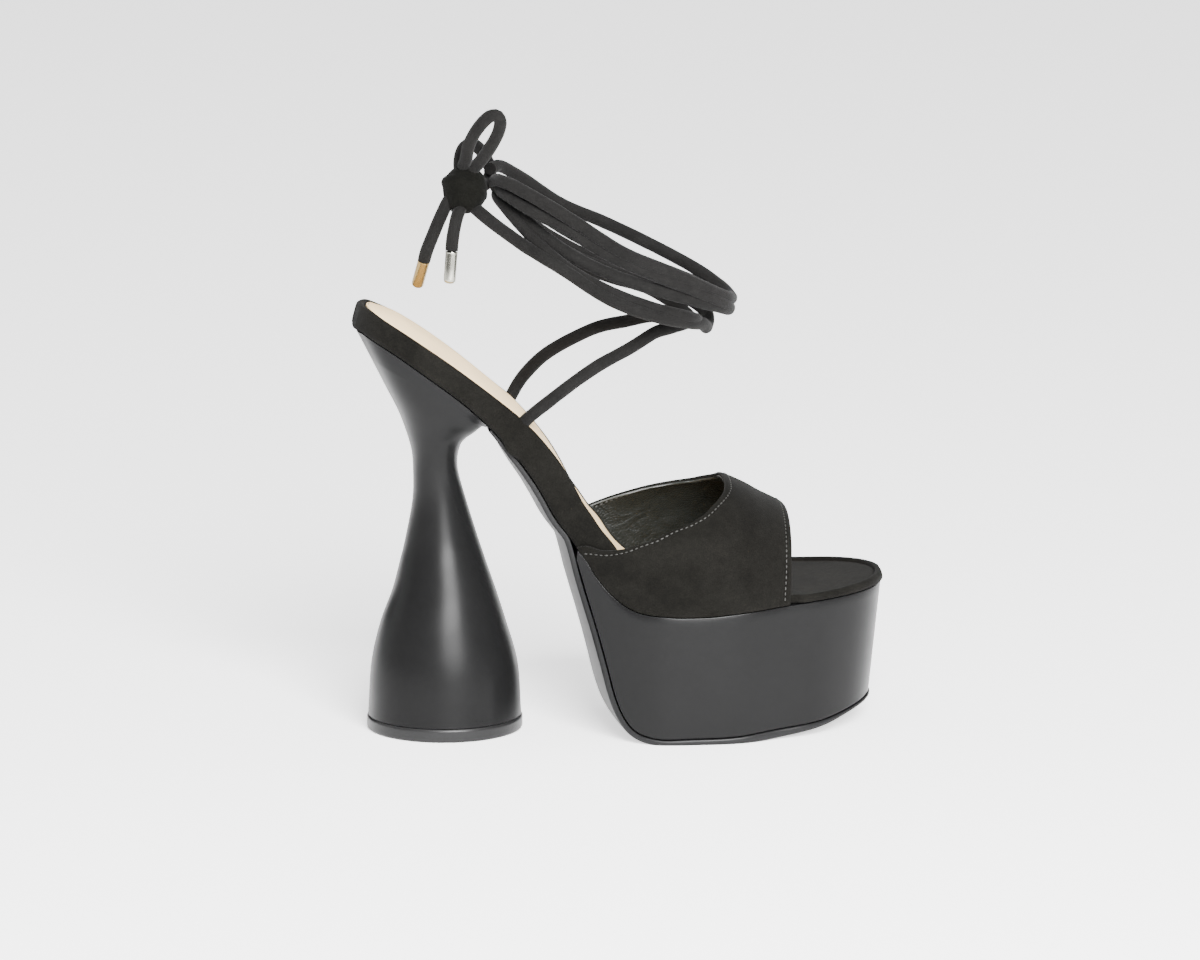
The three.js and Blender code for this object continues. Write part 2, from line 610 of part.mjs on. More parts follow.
// Ring point of the heel: the oval of its row, drawn towards the seat's outline.
function heelRing(row, height) {
  const back = new THREE.Vector3(row.back * LENGTH, 0, row.backRise * SEAT_HEIGHT);
  const breast = new THREE.Vector3(row.breast * LENGTH, 0, row.breastRise * SEAT_HEIGHT);
  const middle = planAt(-0.32 * LENGTH, -0.5 * LENGTH, 0.5 * LENGTH).reduce((a, b) => a + b) / 2;
  const chord = breast.clone().sub(back);
  const up = new THREE.Vector3(-chord.z, 0, chord.x).normalize();
  const seatLine = seatCurve();
  const seatStart = seatLine.getPointAt(0);
  const seatChord = seatLine.getPointAt(1).sub(seatStart);
  const seatUp = new THREE.Vector3(-seatChord.z, 0, seatChord.x).normalize();
  const sides = [[], []];
  for (let j = 0; j <= HEEL_SIDES / 2; j += 1) {
    const p = -Math.cos((2 * Math.PI * j) / HEEL_SIDES);
    const t = (p + 1) / 2;
    const bow = seatLine.getPointAt(t).sub(seatStart).dot(seatUp) * row.seat;
    const at = back.clone().addScaledVector(chord, t).addScaledVector(up, bow * height);
    const oval = row.half * WIDTH * Math.pow(Math.max(0, 1 - Math.pow(Math.abs(p), row.square)), 1 / row.square);
    const seatSides = seatOutline(seatLine.getPointAt(t).x);
    [-1, 1].forEach((sign, side) => {
      const ovalY = middle + sign * oval;
      const seatY = seatSides[side];
      const blend = row.seat * row.seat * THREE.MathUtils.smoothstep(t, 0.35, 1) * 0.5;
      sides[side].push(new THREE.Vector3(at.x, ovalY + (seatY - ovalY) * blend, at.z));
    });
  }
  return [...sides[0], ...sides[1].reverse()];
}

function seatCurve() {
  return lineUnder(footbedUnder, () => GAP, seatFrom, seatTo);
}

function seatOutline(x) {
  return planAt(x, footbedUnder.getPointAt(0).x, 0.5 * LENGTH);
}

// Last ring of the heel, right under the footbed.
function seatRing() {
  const line = seatCurve();
  const sides = [[], []];
  for (let j = 0; j <= HEEL_SIDES / 2; j += 1) {
    const p = line.getPointAt((1 - Math.cos((2 * Math.PI * j) / HEEL_SIDES)) / 2);
    const [outer, inner] = seatOutline(p.x);
    sides[0].push(new THREE.Vector3(p.x, outer + 0.9, p.z));
    sides[1].push(new THREE.Vector3(p.x, inner - 0.9, p.z));
  }
  return [...sides[0], ...sides[1].reverse()];
}

function heel() {
  const rings = [];
  const steps = 2;
  for (let i = 0; i + 1 < HEEL.length; i += 1) {
    for (let k = 0; k < steps; k += 1) rings.push(heelRing(heelRow(i + k / steps), 1));
  }
  rings.push(heelRing(HEEL[HEEL.length - 1], 1));
  rings.push(seatRing());
  return body(rings);
}

// Row of the heel table between two of its rows.
function heelRow(at) {
  const rows = HEEL.map((row, i) => ({ ...row, i }));
  const made = {};
  for (const key of Object.keys(HEEL[0])) made[key] = along(rows, "i", key, at);
  return made;
}

function heelTopPiece() {
  const radius = HEEL_BASE / 2;
  const profile = [
    [0, 0],
    [radius - 0.8, 0],
    [radius, 0.8],
    [radius, TOP_PIECE - 0.9],
    [radius - 0.6, TOP_PIECE - GAP],
    [0, TOP_PIECE - GAP],
  ].map(([x, y]) => new THREE.Vector2(x, y));
  const geometry = new THREE.LatheGeometry(profile, 48);
  geometry.rotateX(Math.PI / 2);
  const middle = planAt(-0.32 * LENGTH, -0.5 * LENGTH, 0.5 * LENGTH).reduce((a, b) => a + b) / 2;
  geometry.translate(((HEEL[0].back + HEEL[0].breast) / 2) * LENGTH, middle, 0);
  return toSolid(geometry);
}

const crownAt = (x) => along(CROWN, "along", "rise", x / LENGTH) * SEAT_HEIGHT;

// Height of the platform's rim at x.
function rimUnderVamp(x) {
  const start = platformTop.getPointAt(0);
  const way = platformTop.getTangentAt(0);
  if (x < start.x) return start.z + 1.6 * GAP + ((x - start.x) * way.z) / way.x;
  return platformTop.getPointAt(shareAt(platformTop, x)).z + 1.6 * GAP;
}

// Point of the vamp's outer face at x and angle round the foot. Its sides stand
// upright along the footbed's edge and arch over from its rim.
function vampPoint(x, angle) {
  const [outer, inner] = planAt(x, rim.getPointAt(0).x, platformTop.getPointAt(1).x);
  const middle = (outer + inner) / 2;
  const half = (inner - outer) / 2;
  const a = (angle * Math.PI) / 180;
  const base = rimUnderVamp(x);
  const height = crownAt(x) - base;
  const lift = height * Math.pow(Math.max(0, Math.sin(a)), 2 / VAMP_SQUARE);
  const wall = Math.min(rim.getPointAt(shareAt(rim, x)).z + 1.5 - base, 0.85 * height);
  const over = Math.max(0, (lift - wall) / (height - wall));
  const across = Math.sign(Math.cos(a)) * Math.pow(Math.max(0, 1 - Math.pow(over, VAMP_SQUARE)), 1 / VAMP_SQUARE);
  return new THREE.Vector3(x, middle - half * across, base + lift);
}

// Upper of the forefoot: a hollow band from rim to rim, open at throat and toe.
function vamp() {
  const outer = [];
  const inner = [];
  const columns = 40;
  for (let c = 0; c <= columns; c += 1) {
    const t = c / columns;
    const angle = 180 * t;
    const throat = along(VAMP_EDGE, "angle", "throat", angle) * LENGTH;
    const front = along(VAMP_EDGE, "angle", "front", angle) * LENGTH;
    for (let r = 0; r <= VAMP_ROWS; r += 1) {
      const x = throat + ((front - throat) * r) / VAMP_ROWS;
      const p = vampPoint(x, angle);
      const dx = vampPoint(x + 0.5, angle).sub(vampPoint(x - 0.5, angle));
      const low = Math.max(angle - 1, 0.3);
      const high = Math.min(angle + 1, 179.7);
      const da = vampPoint(x, high).sub(vampPoint(x, low));
      const normal = dx.cross(da).normalize();
      outer.push(p);
      const q = p.clone().addScaledVector(normal, -VAMP_WALL);
      q.z = Math.max(q.z, rimUnderVamp(q.x));
      inner.push(q);
    }
  }
  return shell(outer, inner, columns, VAMP_ROWS);
}

// Closed wall between two grids of points.
function shell(outer, inner, columns, rows) {
  const points = [...outer, ...inner];
  const offset = outer.length;
  const at = (c, r) => c * (rows + 1) + r;
  const faces = [];
  const quad = (a, b, c, d) => faces.push([a, b, c], [a, c, d]);
  for (let c = 0; c < columns; c += 1) {
    for (let r = 0; r < rows; r += 1) {
      quad(at(c, r), at(c, r + 1), at(c + 1, r + 1), at(c + 1, r));
      quad(offset + at(c, r), offset + at(c + 1, r), offset + at(c + 1, r + 1), offset + at(c, r + 1));
    }
    quad(at(c, 0), at(c + 1, 0), offset + at(c + 1, 0), offset + at(c, 0));
    quad(at(c + 1, rows), at(c, rows), offset + at(c, rows), offset + at(c + 1, rows));
  }
  for (let r = 0; r < rows; r += 1) {
    quad(at(0, r + 1), at(0, r), offset + at(0, r), offset + at(0, r + 1));
    quad(at(columns, r), at(columns, r + 1), offset + at(columns, r + 1), offset + at(columns, r));
  }
  return solid(points, faces);
}

// A tie's whole way: its lead from the anchor, then its turns round the ankle.
function tieCurve(lead, turns) {
  const points = lead.map(place);
  const keyed = turns.map((row) => ({ ...row, key: Math.abs(row.turn) }));
  const sign = Math.sign(turns[turns.length - 1].turn);
  const last = keyed[keyed.length - 1].key;
  for (let key = keyed[0].key; key < last; key += TURN_STEP) points.push(turnPoint(keyed, key, sign));
  points.push(turnPoint(keyed, last, sign));
  return smoothCurve(points);
}

function turnPoint(rows, key, sign) {
  const a = (sign * key * Math.PI) / 180;
  const out = along(rows, "key", "out", key) * CORD;
  const x = RING.along * LENGTH + (RING.reach * LENGTH + out) * Math.cos(a);
  const y = RING.across * WIDTH - (RING.half * WIDTH + out) * Math.sin(a);
  return new THREE.Vector3(x, y, along(rows, "key", "rise", key) * SEAT_HEIGHT);
}

function ankleTie() {
  const outer = cordSolid(tieCurve(OUTER_LEAD, OUTER_TURNS), CORD, 2.2);
  const inner = cordSolid(tieCurve(INNER_LEAD, INNER_TURNS), CORD, 2.2);
  return outer.add(inner);
}

// Knot: a ball of two cord wraps.
function knot() {
  const ball = toSolid(new THREE.SphereGeometry(0.46 * KNOT, 14, 10));
  const wrap = (turnY, turnZ) => {
    const ring = new THREE.TorusGeometry(0.5 * KNOT - 0.5 * CORD, 0.5 * CORD, 8, 18);
    ring.rotateY(turnY);
    ring.rotateZ(turnZ);
    return toSolid(ring);
  };
  const at = place(KNOT_AT);
  return ball.add(wrap(0.5, 0.3)).add(wrap(1.9, -0.4)).translate([at.x, at.y, at.z]);
}

function cordPiece(rows) {
  return cordSolid(smoothCurve(rows.map(place)), CORD, 0.8);
}

// Metal end that goes on in the direction of a tie's end.
function aglet(rows) {
  const curve = smoothCurve(rows.map(place));
  const tip = curve.getPointAt(1);
  const way = curve.getTangentAt(1);
  const profile = [
    [0, -AGLET_LENGTH / 2],
    [AGLET / 2, -AGLET_LENGTH / 2],
    [AGLET / 2, AGLET_LENGTH / 2 - 1.1],
    [0.78 * (AGLET / 2), AGLET_LENGTH / 2 - 0.3],
    [0.4 * (AGLET / 2), AGLET_LENGTH / 2],
    [0, AGLET_LENGTH / 2],
  ].map(([x, y]) => new THREE.Vector2(x, y));
  const geometry = new THREE.LatheGeometry(profile, 14);
  geometry.rotateX(Math.PI / 2);
  geometry.applyQuaternion(new THREE.Quaternion().setFromUnitVectors(new THREE.Vector3(0, 0, 1), way));
  const middle = tip.clone().addScaledVector(way, GAP + AGLET_LENGTH / 2);
  geometry.translate(middle.x, middle.y, middle.z);
  return toSolid(geometry);
}

const shoe = new THREE.Group();
shoe.name = "platform_sandal";
const knotSolid = knot();
const knotRoom = toSolid(new THREE.SphereGeometry(0.5 * (KNOT + GAP), 20, 14)).translate(place(KNOT_AT).toArray());
shoe.add(meshOf("outsole", outsole(), 0x2c2c2e, 0.55));
shoe.add(meshOf("platform", platform(), 0x1f1f21, 0.4));
shoe.add(meshOf("heel", heel(), 0x1f1f21, 0.4));
shoe.add(meshOf("heel_top_piece", heelTopPiece(), 0x18181a, 0.7));
shoe.add(meshOf("footbed", footbed(), 0x141314, 0.95));
shoe.add(meshOf("sock", sock(), 0xe6d8c2, 0.75));
shoe.add(meshOf("vamp", vamp(), 0x151414, 0.95));
shoe.add(meshOf("ankle_tie", ankleTie().subtract(knotRoom), 0x161515, 0.95));
shoe.add(meshOf("tie_knot", knotSolid, 0x161515, 0.95));
shoe.add(meshOf("bow_loop_near", cordPiece(NEAR_LOOP).subtract(knotRoom), 0x161515, 0.95));
shoe.add(meshOf("bow_loop_far", cordPiece(FAR_LOOP).subtract(knotRoom), 0x161515, 0.95));
shoe.add(meshOf("tie_end_outer", cordPiece(OUTER_END).subtract(knotRoom), 0x161515, 0.95));
shoe.add(meshOf("tie_end_inner", cordPiece(INNER_END).subtract(knotRoom), 0x161515, 0.95));
shoe.add(meshOf("aglet_outer", aglet(OUTER_END), 0xcbb38a, 0.25, 1));
shoe.add(meshOf("aglet_inner", aglet(INNER_END), 0xb9bab8, 0.25, 1));

export default shoe;
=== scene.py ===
"""Looks of a platform sandal with a waisted heel and ankle ties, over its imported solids.

X runs from heel to toe, Y to the inner side of the foot, Z up from the floor.
Forms are worked out in millimetres and become metres in each mesh.
"""

import math
from types import SimpleNamespace

import bmesh
import bpy
import numpy as np
from bpy.props import FloatProperty, FloatVectorProperty, PointerProperty
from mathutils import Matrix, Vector, noise


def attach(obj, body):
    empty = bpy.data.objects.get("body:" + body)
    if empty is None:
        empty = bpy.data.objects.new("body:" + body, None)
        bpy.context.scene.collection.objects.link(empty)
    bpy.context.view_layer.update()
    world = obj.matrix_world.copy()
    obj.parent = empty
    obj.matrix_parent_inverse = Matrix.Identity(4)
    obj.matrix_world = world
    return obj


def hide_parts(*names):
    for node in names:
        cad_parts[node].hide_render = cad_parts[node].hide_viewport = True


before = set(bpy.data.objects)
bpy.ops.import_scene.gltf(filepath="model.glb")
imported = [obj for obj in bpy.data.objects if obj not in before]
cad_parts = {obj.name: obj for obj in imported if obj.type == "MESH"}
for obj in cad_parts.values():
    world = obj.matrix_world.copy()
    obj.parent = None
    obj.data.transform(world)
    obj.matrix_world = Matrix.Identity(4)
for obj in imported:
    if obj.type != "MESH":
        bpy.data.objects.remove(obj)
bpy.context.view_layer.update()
MM = 0.001

bl_info = {
    "name": "Platform sandal",
    "version": (1, 0, 0),
    "blender": (4, 5, 0),
    "location": "3D View > Sidebar > Sandal",
    "description": "Builds a platform sandal with a waisted heel and ankle ties",
    "category": "Add Mesh",
}


def table(columns, *rows):
    """Rows of values under named columns."""
    names = columns.split()
    return [dict(zip(names, row)) for row in rows]


# Side view: along is a share of the length, rise of the seat height, across of the width.
FOOTBED = table(
    "along rise depth",
    (-0.4893, 1.0, 0.81),
    (-0.472, 0.994, 0.78),
    (-0.4535, 0.981, 0.76),
    (-0.404, 0.9446, 0.74),
    (-0.3362, 0.887, 0.76),
    (-0.2742, 0.829, 0.77),
    (-0.2248, 0.78, 0.85),
    (-0.1938, 0.7475, 0.93),
    (-0.1599, 0.7024, 0.97),
    (-0.124, 0.644, 1.0),
    (-0.1003, 0.594, 1.0),
    (-0.0843, 0.5548, 0.98),
    (-0.0669, 0.5232, 0.96),
    (-0.0494, 0.491, 0.96),
    (-0.03, 0.4625, 0.98),
    (0.0, 0.4077, 0.99),
    (0.0339, 0.3679, 0.9),
    (0.0775, 0.3405, 0.56),
    (0.1454, 0.3292, 0.39),
    (0.2132, 0.3315, 0.33),
    (0.3, 0.3357, 0.28),
    (0.36, 0.3381, 0.24),
    (0.43, 0.3436, 0.265),
    (0.4985, 0.349, 0.295),
)
PLAN = table(
    "along middle half",
    (-0.5, 0.0235, 0.329),
    (-0.36, 0.0235, 0.329),
    (-0.27, 0.019, 0.32),
    (-0.194, 0.009, 0.303),
    (-0.097, -0.012, 0.311),
    (-0.039, -0.029, 0.358),
    (0.01, -0.038, 0.408),
    (0.058, -0.035, 0.452),
    (0.121, -0.018, 0.481),
    (0.184, -0.001, 0.498),
    (0.233, 0.009, 0.49),
    (0.3, 0.026, 0.449),
    (0.363, 0.028, 0.426),
    (0.426, 0.047, 0.417),
    (0.5, 0.076, 0.434),
)
UNDERSIDE = table(
    "along rise sole",
    (-0.0955, 0.427, 0.69),
    (-0.0736, 0.332, 0.69),
    (-0.0562, 0.258, 0.69),
    (-0.0388, 0.177, 0.69),
    (-0.0233, 0.103, 0.69),
    (-0.0078, 0.0583, 0.69),
    (0.0116, 0.0298, 0.72),
    (0.047, 0.0155, 0.75),
    (0.121, 0.0155, 0.75),
    (0.194, 0.0172, 0.78),
    (0.252, 0.0232, 1),
    (0.31, 0.0292, 0.9),
    (0.373, 0.0369, 0.66),
    (0.426, 0.0512, 0.4),
    (0.4815, 0.0667, 0.32),
)
WALL_PAIRS = table("upper lower", (0, 0), (0.27, 0.45), (0.69, 0.77), (1, 1))
HEEL = table(
    "back back_rise breast breast_rise half square seat",
    (-0.4753, 0.0327, -0.1861, 0.0327, 0.3485, 2, 0),
    (-0.4692, 0.152, -0.1926, 0.152, 0.321, 2, 0),
    (-0.452, 0.247, -0.2138, 0.247, 0.281, 2, 0),
    (-0.4289, 0.324, -0.2333, 0.324, 0.238, 2, 0),
    (-0.4148, 0.39, -0.2515, 0.39, 0.202, 2, 0),
    (-0.4046, 0.4417, -0.2705, 0.462, 0.168, 2, 0),
    (-0.3902, 0.5357, -0.2937, 0.5565, 0.136, 2.05, 0),
    (-0.3886, 0.6048, -0.3038, 0.6048, 0.131, 2.1, 0),
    (-0.3913, 0.6515, -0.3049, 0.6393, 0.145, 2.15, 0.05),
    (-0.4014, 0.698, -0.2991, 0.669, 0.176, 2.25, 0.15),
    (-0.4174, 0.75, -0.29, 0.686, 0.216, 2.4, 0.35),
    (-0.4427, 0.812, -0.2775, 0.7015, 0.258, 2.6, 0.6),
    (-0.4706, 0.881, -0.2635, 0.722, 0.292, 2.9, 0.85),
)
CROWN = table(
    "along rise",
    (-0.12, 0.592),
    (0.03, 0.604),
    (0.12, 0.602),
    (0.192, 0.583),
    (0.2374, 0.559),
    (0.269, 0.536),
    (0.3, 0.516),
    (0.3205, 0.501),
)
VAMP_EDGE = table(
    "angle throat front",
    (0, -0.095, 0.3023),
    (6.5, -0.082, 0.3033),
    (13, -0.065, 0.3045),
    (19.6, -0.038, 0.3057),
    (25, -0.0107, 0.3065),
    (28.5, 0.0111, 0.307),
    (32, 0.0417, 0.3076),
    (36.7, 0.0736, 0.3085),
    (40.3, 0.1056, 0.3091),
    (46.6, 0.138, 0.3101),
    (55.3, 0.1628, 0.3115),
    (64, 0.181, 0.3128),
    (72, 0.191, 0.3138),
    (82, 0.195, 0.315),
    (92, 0.1965, 0.316),
    (101, 0.1955, 0.316),
    (115, 0.1885, 0.316),
    (125.3, 0.1555, 0.315),
    (129.3, 0.127, 0.3145),
    (134.7, 0.06, 0.3135),
    (139, 0.0165, 0.313),
    (143, -0.0095, 0.312),
    (151.5, -0.0445, 0.31),
    (162, -0.0705, 0.3085),
    (172, -0.086, 0.307),
    (180, -0.095, 0.306),
)
SEAT_BACK, SEAT_BREAST = -0.4945, -0.256
HEEL_ROUND_FROM, TOE_ROUND_FROM = -0.37, 0.3
# How far the band's cover swells over a hidden tie, and its lump at the tie's foot.
TIE_SWELL, TIE_LUMP = 1.3, 1.6
# How wide the swelling and the lump are, and how far from the foot of the tie they are looked for.
SWELL_WIDE, LUMP_WIDE, TIE_NEAR = 4.2, 3.2, 16
# How full the forefoot band is at its shoulders: 2 is an ellipse, more is squarer.
BAND_FULL = 2.3
# A stitch's length as a share of the pitch, and the thread's width.
STITCH_SHARE, THREAD_WIDE = 0.68, 0.55
# Soft edge at the top of the platform's wall, and how far the sock lies lower at the waist of the foot.
PLATFORM_LIP, WAIST_DROP = 0.22, 0.22

# Ring of tie turns: middle, reach and half width.
RING = SimpleNamespace(along=-0.01, across=0.0235, reach=0.223, half=0.352)
TURN_STEP = 22.5
OUTER_LEAD = table(
    "along across rise",
    (-0.2135, -0.262, 0.683),
    (-0.2075, -0.264, 0.704),
    (-0.199, -0.268, 0.728),
    (-0.1858, -0.277, 0.7495),
    (-0.145, -0.293, 0.7912),
    (-0.094, -0.235, 0.8309),
    (-0.0451, -0.188, 0.8648),
    (0.0138, -0.129, 0.8964),
    (0.0634, -0.07, 0.926),
    (0.1006, 0, 0.9316),
    (0.1367, 0.082, 0.939),
)
INNER_LEAD = table(
    "along across rise",
    (-0.2135, 0.286, 0.683),
    (-0.2085, 0.288, 0.705),
    (-0.2026, 0.291, 0.7295),
    (-0.1934, 0.297, 0.7491),
    (-0.1753, 0.317, 0.7835),
    (-0.141, 0.27, 0.8367),
    (-0.1123, 0.229, 0.8669),
    (-0.0818, 0.188, 0.8919),
    (-0.0314, 0.129, 0.9247),
    (0.017, 0.07, 0.9418),
    (0.0578, 0.012, 0.9572),
    (0.101, -0.05, 0.959),
    (0.138, -0.11, 0.958),
)
OUTER_TURNS = table(
    "turn out rise",
    (-45, -1.2, 0.953),
    (-67, -1.1, 0.998),
    (-90, -1, 1.026),
    (-120, -0.8, 1.089),
    (-150, -0.9, 1.174),
    (-180, -0.9, 1.222),
    (-210, -0.8, 1.205),
    (-240, -0.4, 1.137),
    (-270, -0.4, 1.074),
    (-300, -0.4, 1.028),
    (-330, -0.3, 0.992),
    (-360, -0.3, 0.971),
    (-390, -0.4, 0.98),
    (-420, -0.6, 1.008),
    (-450, -0.6, 1.051),
    (-480, -0.6, 1.12),
    (-510, -0.4, 1.2),
    (-540, 0, 1.276),
    (-570, 0.2, 1.281),
    (-600, 0.2, 1.228),
    (-630, 0.2, 1.138),
    (-660, 0.1, 1.074),
    (-690, 0, 1.018),
    (-720, -0.1, 0.998),
    (-750, 0, 1.024),
    (-780, 0.24, 1.077),
    (-810, 0, 1.146),
    (-840, 0, 1.212),
    (-868, 0, 1.293),
    (-890, 0.4, 1.3),
)
INNER_TURNS = table(
    "turn out rise",
    (50, -0.8, 0.973),
    (75, -0.4, 1.005),
    (100, 0, 1.055),
    (125, 0, 1.122),
    (150, -0.4, 1.198),
    (180, -0.2, 1.242),
    (210, -0.4, 1.234),
    (240, -0.6, 1.156),
    (270, -0.6, 1.083),
    (300, -0.6, 1.041),
    (330, -0.4, 1.003),
    (360, -0.3, 0.975),
    (390, 0, 1.003),
    (420, 0, 1.056),
    (450, 0, 1.115),
    (480, 0, 1.196),
    (510, 0, 1.245),
    (540, -0.4, 1.26),
    (570, -0.8, 1.19),
    (600, -1, 1.1),
    (630, -1.1, 1.043),
    (655, -1.1, 1),
    (680, -1.1, 0.977),
    (700, -1.35, 0.955),
    (720, -2, 0.93),
    (750, -1.6, 0.949),
    (780, -0.6, 0.969),
    (810, 0.2, 1.015),
    (840, 0.4, 1.103),
    (870, 0.4, 1.167),
    (880, 0.94, 1.191),
    (888, 1.34, 1.206),
    (893, 1.76, 1.221),
)
KNOT_AT = dict(along=-0.2897, across=0.0, rise=1.2607)

# A long lens looks from the outer side, a little from behind and from above; angles in degrees.
CAMERA = SimpleNamespace(
    lens=230.8, sensor=36, sees_to=50, at=(-0.3135, -2.9102, 0.6868), down=11.4, turned=6
)
# The stage, in metres: an overhead light, three softboxes and a floor with a faint light of its own.
SUN = SimpleNamespace(strength=2.4, spread=80, forward=12, sideways=6)
LIT_POINT = Vector((-0.02, 0, 0.08))
SOFTBOXES = table(
    "name at wide high power",
    ("strip", (0.27, -1.75, 1.1), 1.0, 1.2, 250),
    ("left", (-1.9, 0.7, 0.9), 1.2, 1.4, 8),
    ("right", (1.9, 0.5, 0.9), 1.0, 1.2, 4),
)
FLOOR = SimpleNamespace(
    half=14, darker=(0.86, 0.86, 0.865, 1), lighter=(0.9, 0.9, 0.9, 1), glow_colour=(1, 0.995, 1, 1), glow=1.3
)

# Each bow cord: its loop, its way through the knot, and its hanging end.
NEAR_LOOP_AND_END = table(
    "along across rise",
    (-0.2932, -0.02, 1.3153),
    (-0.2893, -0.055, 1.3376),
    (-0.2872, -0.085, 1.3619),
    (-0.2821, -0.115, 1.3842),
    (-0.2727, -0.145, 1.4089),
    (-0.2602, -0.17, 1.4313),
    (-0.2477, -0.185, 1.4442),
    (-0.2368, -0.19, 1.4448),
    (-0.2304, -0.183, 1.4306),
    (-0.2322, -0.165, 1.4085),
    (-0.2395, -0.14, 1.3849),
    (-0.2505, -0.105, 1.3577),
    (-0.2615, -0.07, 1.3341),
    (-0.2728, -0.03, 1.3136),
    (-0.321, -0.02, 1.2375),
    (-0.3365, -0.03, 1.201),
    (-0.35, -0.035, 1.162),
    (-0.3628, -0.028, 1.122),
    (-0.3668, -0.008, 1.1),
)
FAR_LOOP_AND_END = table(
    "along across rise",
    (-0.2983, 0.02, 1.304),
    (-0.2974, 0.055, 1.322),
    (-0.2927, 0.09, 1.34),
    (-0.2822, 0.13, 1.3515),
    (-0.2678, 0.165, 1.3507),
    (-0.2532, 0.2, 1.3361),
    (-0.2429, 0.22, 1.3156),
    (-0.2358, 0.222, 1.2958),
    (-0.2351, 0.2, 1.2789),
    (-0.2423, 0.155, 1.2669),
    (-0.2492, 0.11, 1.2618),
    (-0.2644, 0.055, 1.2662),
    (-0.303, -0.06, 1.2155),
    (-0.312, -0.08, 1.182),
    (-0.3165, -0.086, 1.152),
    (-0.3182, -0.09, 1.127),
)


def measure(name, description, default):
    return FloatProperty(name=name, description=description, default=default, unit="LENGTH")


def tone(name, description, default):
    return FloatVectorProperty(
        name=name, description=description, default=default, subtype="COLOR", min=0, max=1
    )


class SandalSizes(bpy.types.PropertyGroup):
    """Named sizes of the sandal."""

    length: measure("Length", "Heel back to toe tip", 0.2064)
    width: measure("Width", "Across the platform at the ball", 0.0852)
    seat_height: measure("Seat height", "Floor to the footbed's rim at the heel", 0.168)
    footbed_depth: measure("Footbed depth", "Footbed edge at its thickest", 0.012)
    sock_thickness: measure("Sock thickness", "Cream lining on the footbed", 0.0013)
    sock_inset: measure("Sock inset", "Bare rim beside the sock", 0.0023)
    heel_pad: measure("Heel pad", "How far the sock swells over the heel", 0.0022)
    vamp_wall: measure("Vamp wall", "Thickness of the forefoot band", 0.0016)
    gap: measure("Gap", "Room between neighbouring pieces", 0.0003)
    sole_thickness: measure("Sole thickness", "Outsole at its thickest", 0.0032)
    heel_base: measure("Heel base", "Across the round top piece", 0.0606)
    top_piece: measure("Top piece", "Height of the top piece", 0.0055)
    cord: measure("Cord", "Across a tie", 0.005)
    knot: measure("Knot", "Across the bow's knot", 0.0188)
    aglet: measure("Metal end", "Across a metal end", 0.0047)
    aglet_length: measure("Metal end length", "Length of a metal end", 0.0124)
    stitch_pitch: measure("Stitch pitch", "From one stitch to the next", 0.0021)
    stitch_margin: measure("Stitch margin", "Edge of the band to its stitches", 0.0022)


class SandalColours(bpy.types.PropertyGroup):
    """Colours of the sandal's finishes."""

    suede: tone("Suede", "Footbed edge and forefoot band", (0.0046, 0.0044, 0.0038))
    cord: tone("Ties", "Suede cord", (0.006, 0.0058, 0.0056))
    cover: tone("Cover", "Satin cover of heel and platform", (0.0055, 0.0055, 0.0056))
    outsole: tone("Outsole", "Sole and shank", (0.0065, 0.0065, 0.0067))
    sock: tone("Sock", "Cream lining", (0.78, 0.59, 0.34))
    lining: tone("Lining", "Lining of the forefoot band", (0.0048, 0.0056, 0.0047))
    gold: tone("Gold end", "Metal end of the outer tie", (0.27, 0.185, 0.075))
    silver: tone("Silver end", "Metal end of the inner tie", (0.36, 0.355, 0.31))


def sizes():
    """The sidebar's sizes in millimetres."""
    group = bpy.context.scene.sandal_sizes
    return SimpleNamespace(**{name: getattr(group, name) / MM for name in SandalSizes.__annotations__})


def smoothstep(x, low, high):
    t = np.clip((x - low) / (high - low), 0, 1)
    return t * t * (3 - 2 * t)


def along(rows, key, column, x):
    """A table's column at one or many places, as a smooth line through its rows."""
    keys = np.array([row[key] for row in rows], float)
    values = np.array([row[column] for row in rows], float)
    slope = np.gradient(values, keys)
    slope[1:-1] = (values[2:] - values[:-2]) / (keys[2:] - keys[:-2])
    x = np.clip(x, keys[0], keys[-1])
    i = np.clip(np.searchsorted(keys, x, side="right") - 1, 0, len(keys) - 2)
    wide = keys[i + 1] - keys[i]
    t = (x - keys[i]) / wide
    t2, t3 = t * t, t * t * t
    return (
        (2 * t3 - 3 * t2 + 1) * values[i]
        + (t3 - 2 * t2 + t) * slope[i] * wide
        + (3 * t2 - 2 * t3) * values[i + 1]
        + (t3 - t2) * slope[i + 1] * wide
    )


class Line:
    """A fine line that gives its points by share of its length."""

    def __init__(self, points):
        self.points = np.asarray(points, float)
        steps = np.linalg.norm(np.diff(self.points, axis=0), axis=1)
        self.s = np.concatenate([[0], np.cumsum(steps)])
        self.length = self.s[-1]

    def at(self, share):
        s = np.clip(share, 0, 1) * self.length
        return np.stack([np.interp(s, self.s, self.points[:, k]) for k in range(3)], axis=-1)

    def way(self, share, reach=0.003):
        step = self.at(np.asarray(share) + reach) - self.at(np.asarray(share) - reach)
        return step / np.linalg.norm(step, axis=-1, keepdims=True)

    def share_at(self, x):
        return np.interp(x, self.points[:, 0], self.s / self.length)

    def rise_at(self, x):
        return np.interp(x, self.points[:, 0], self.points[:, 2])


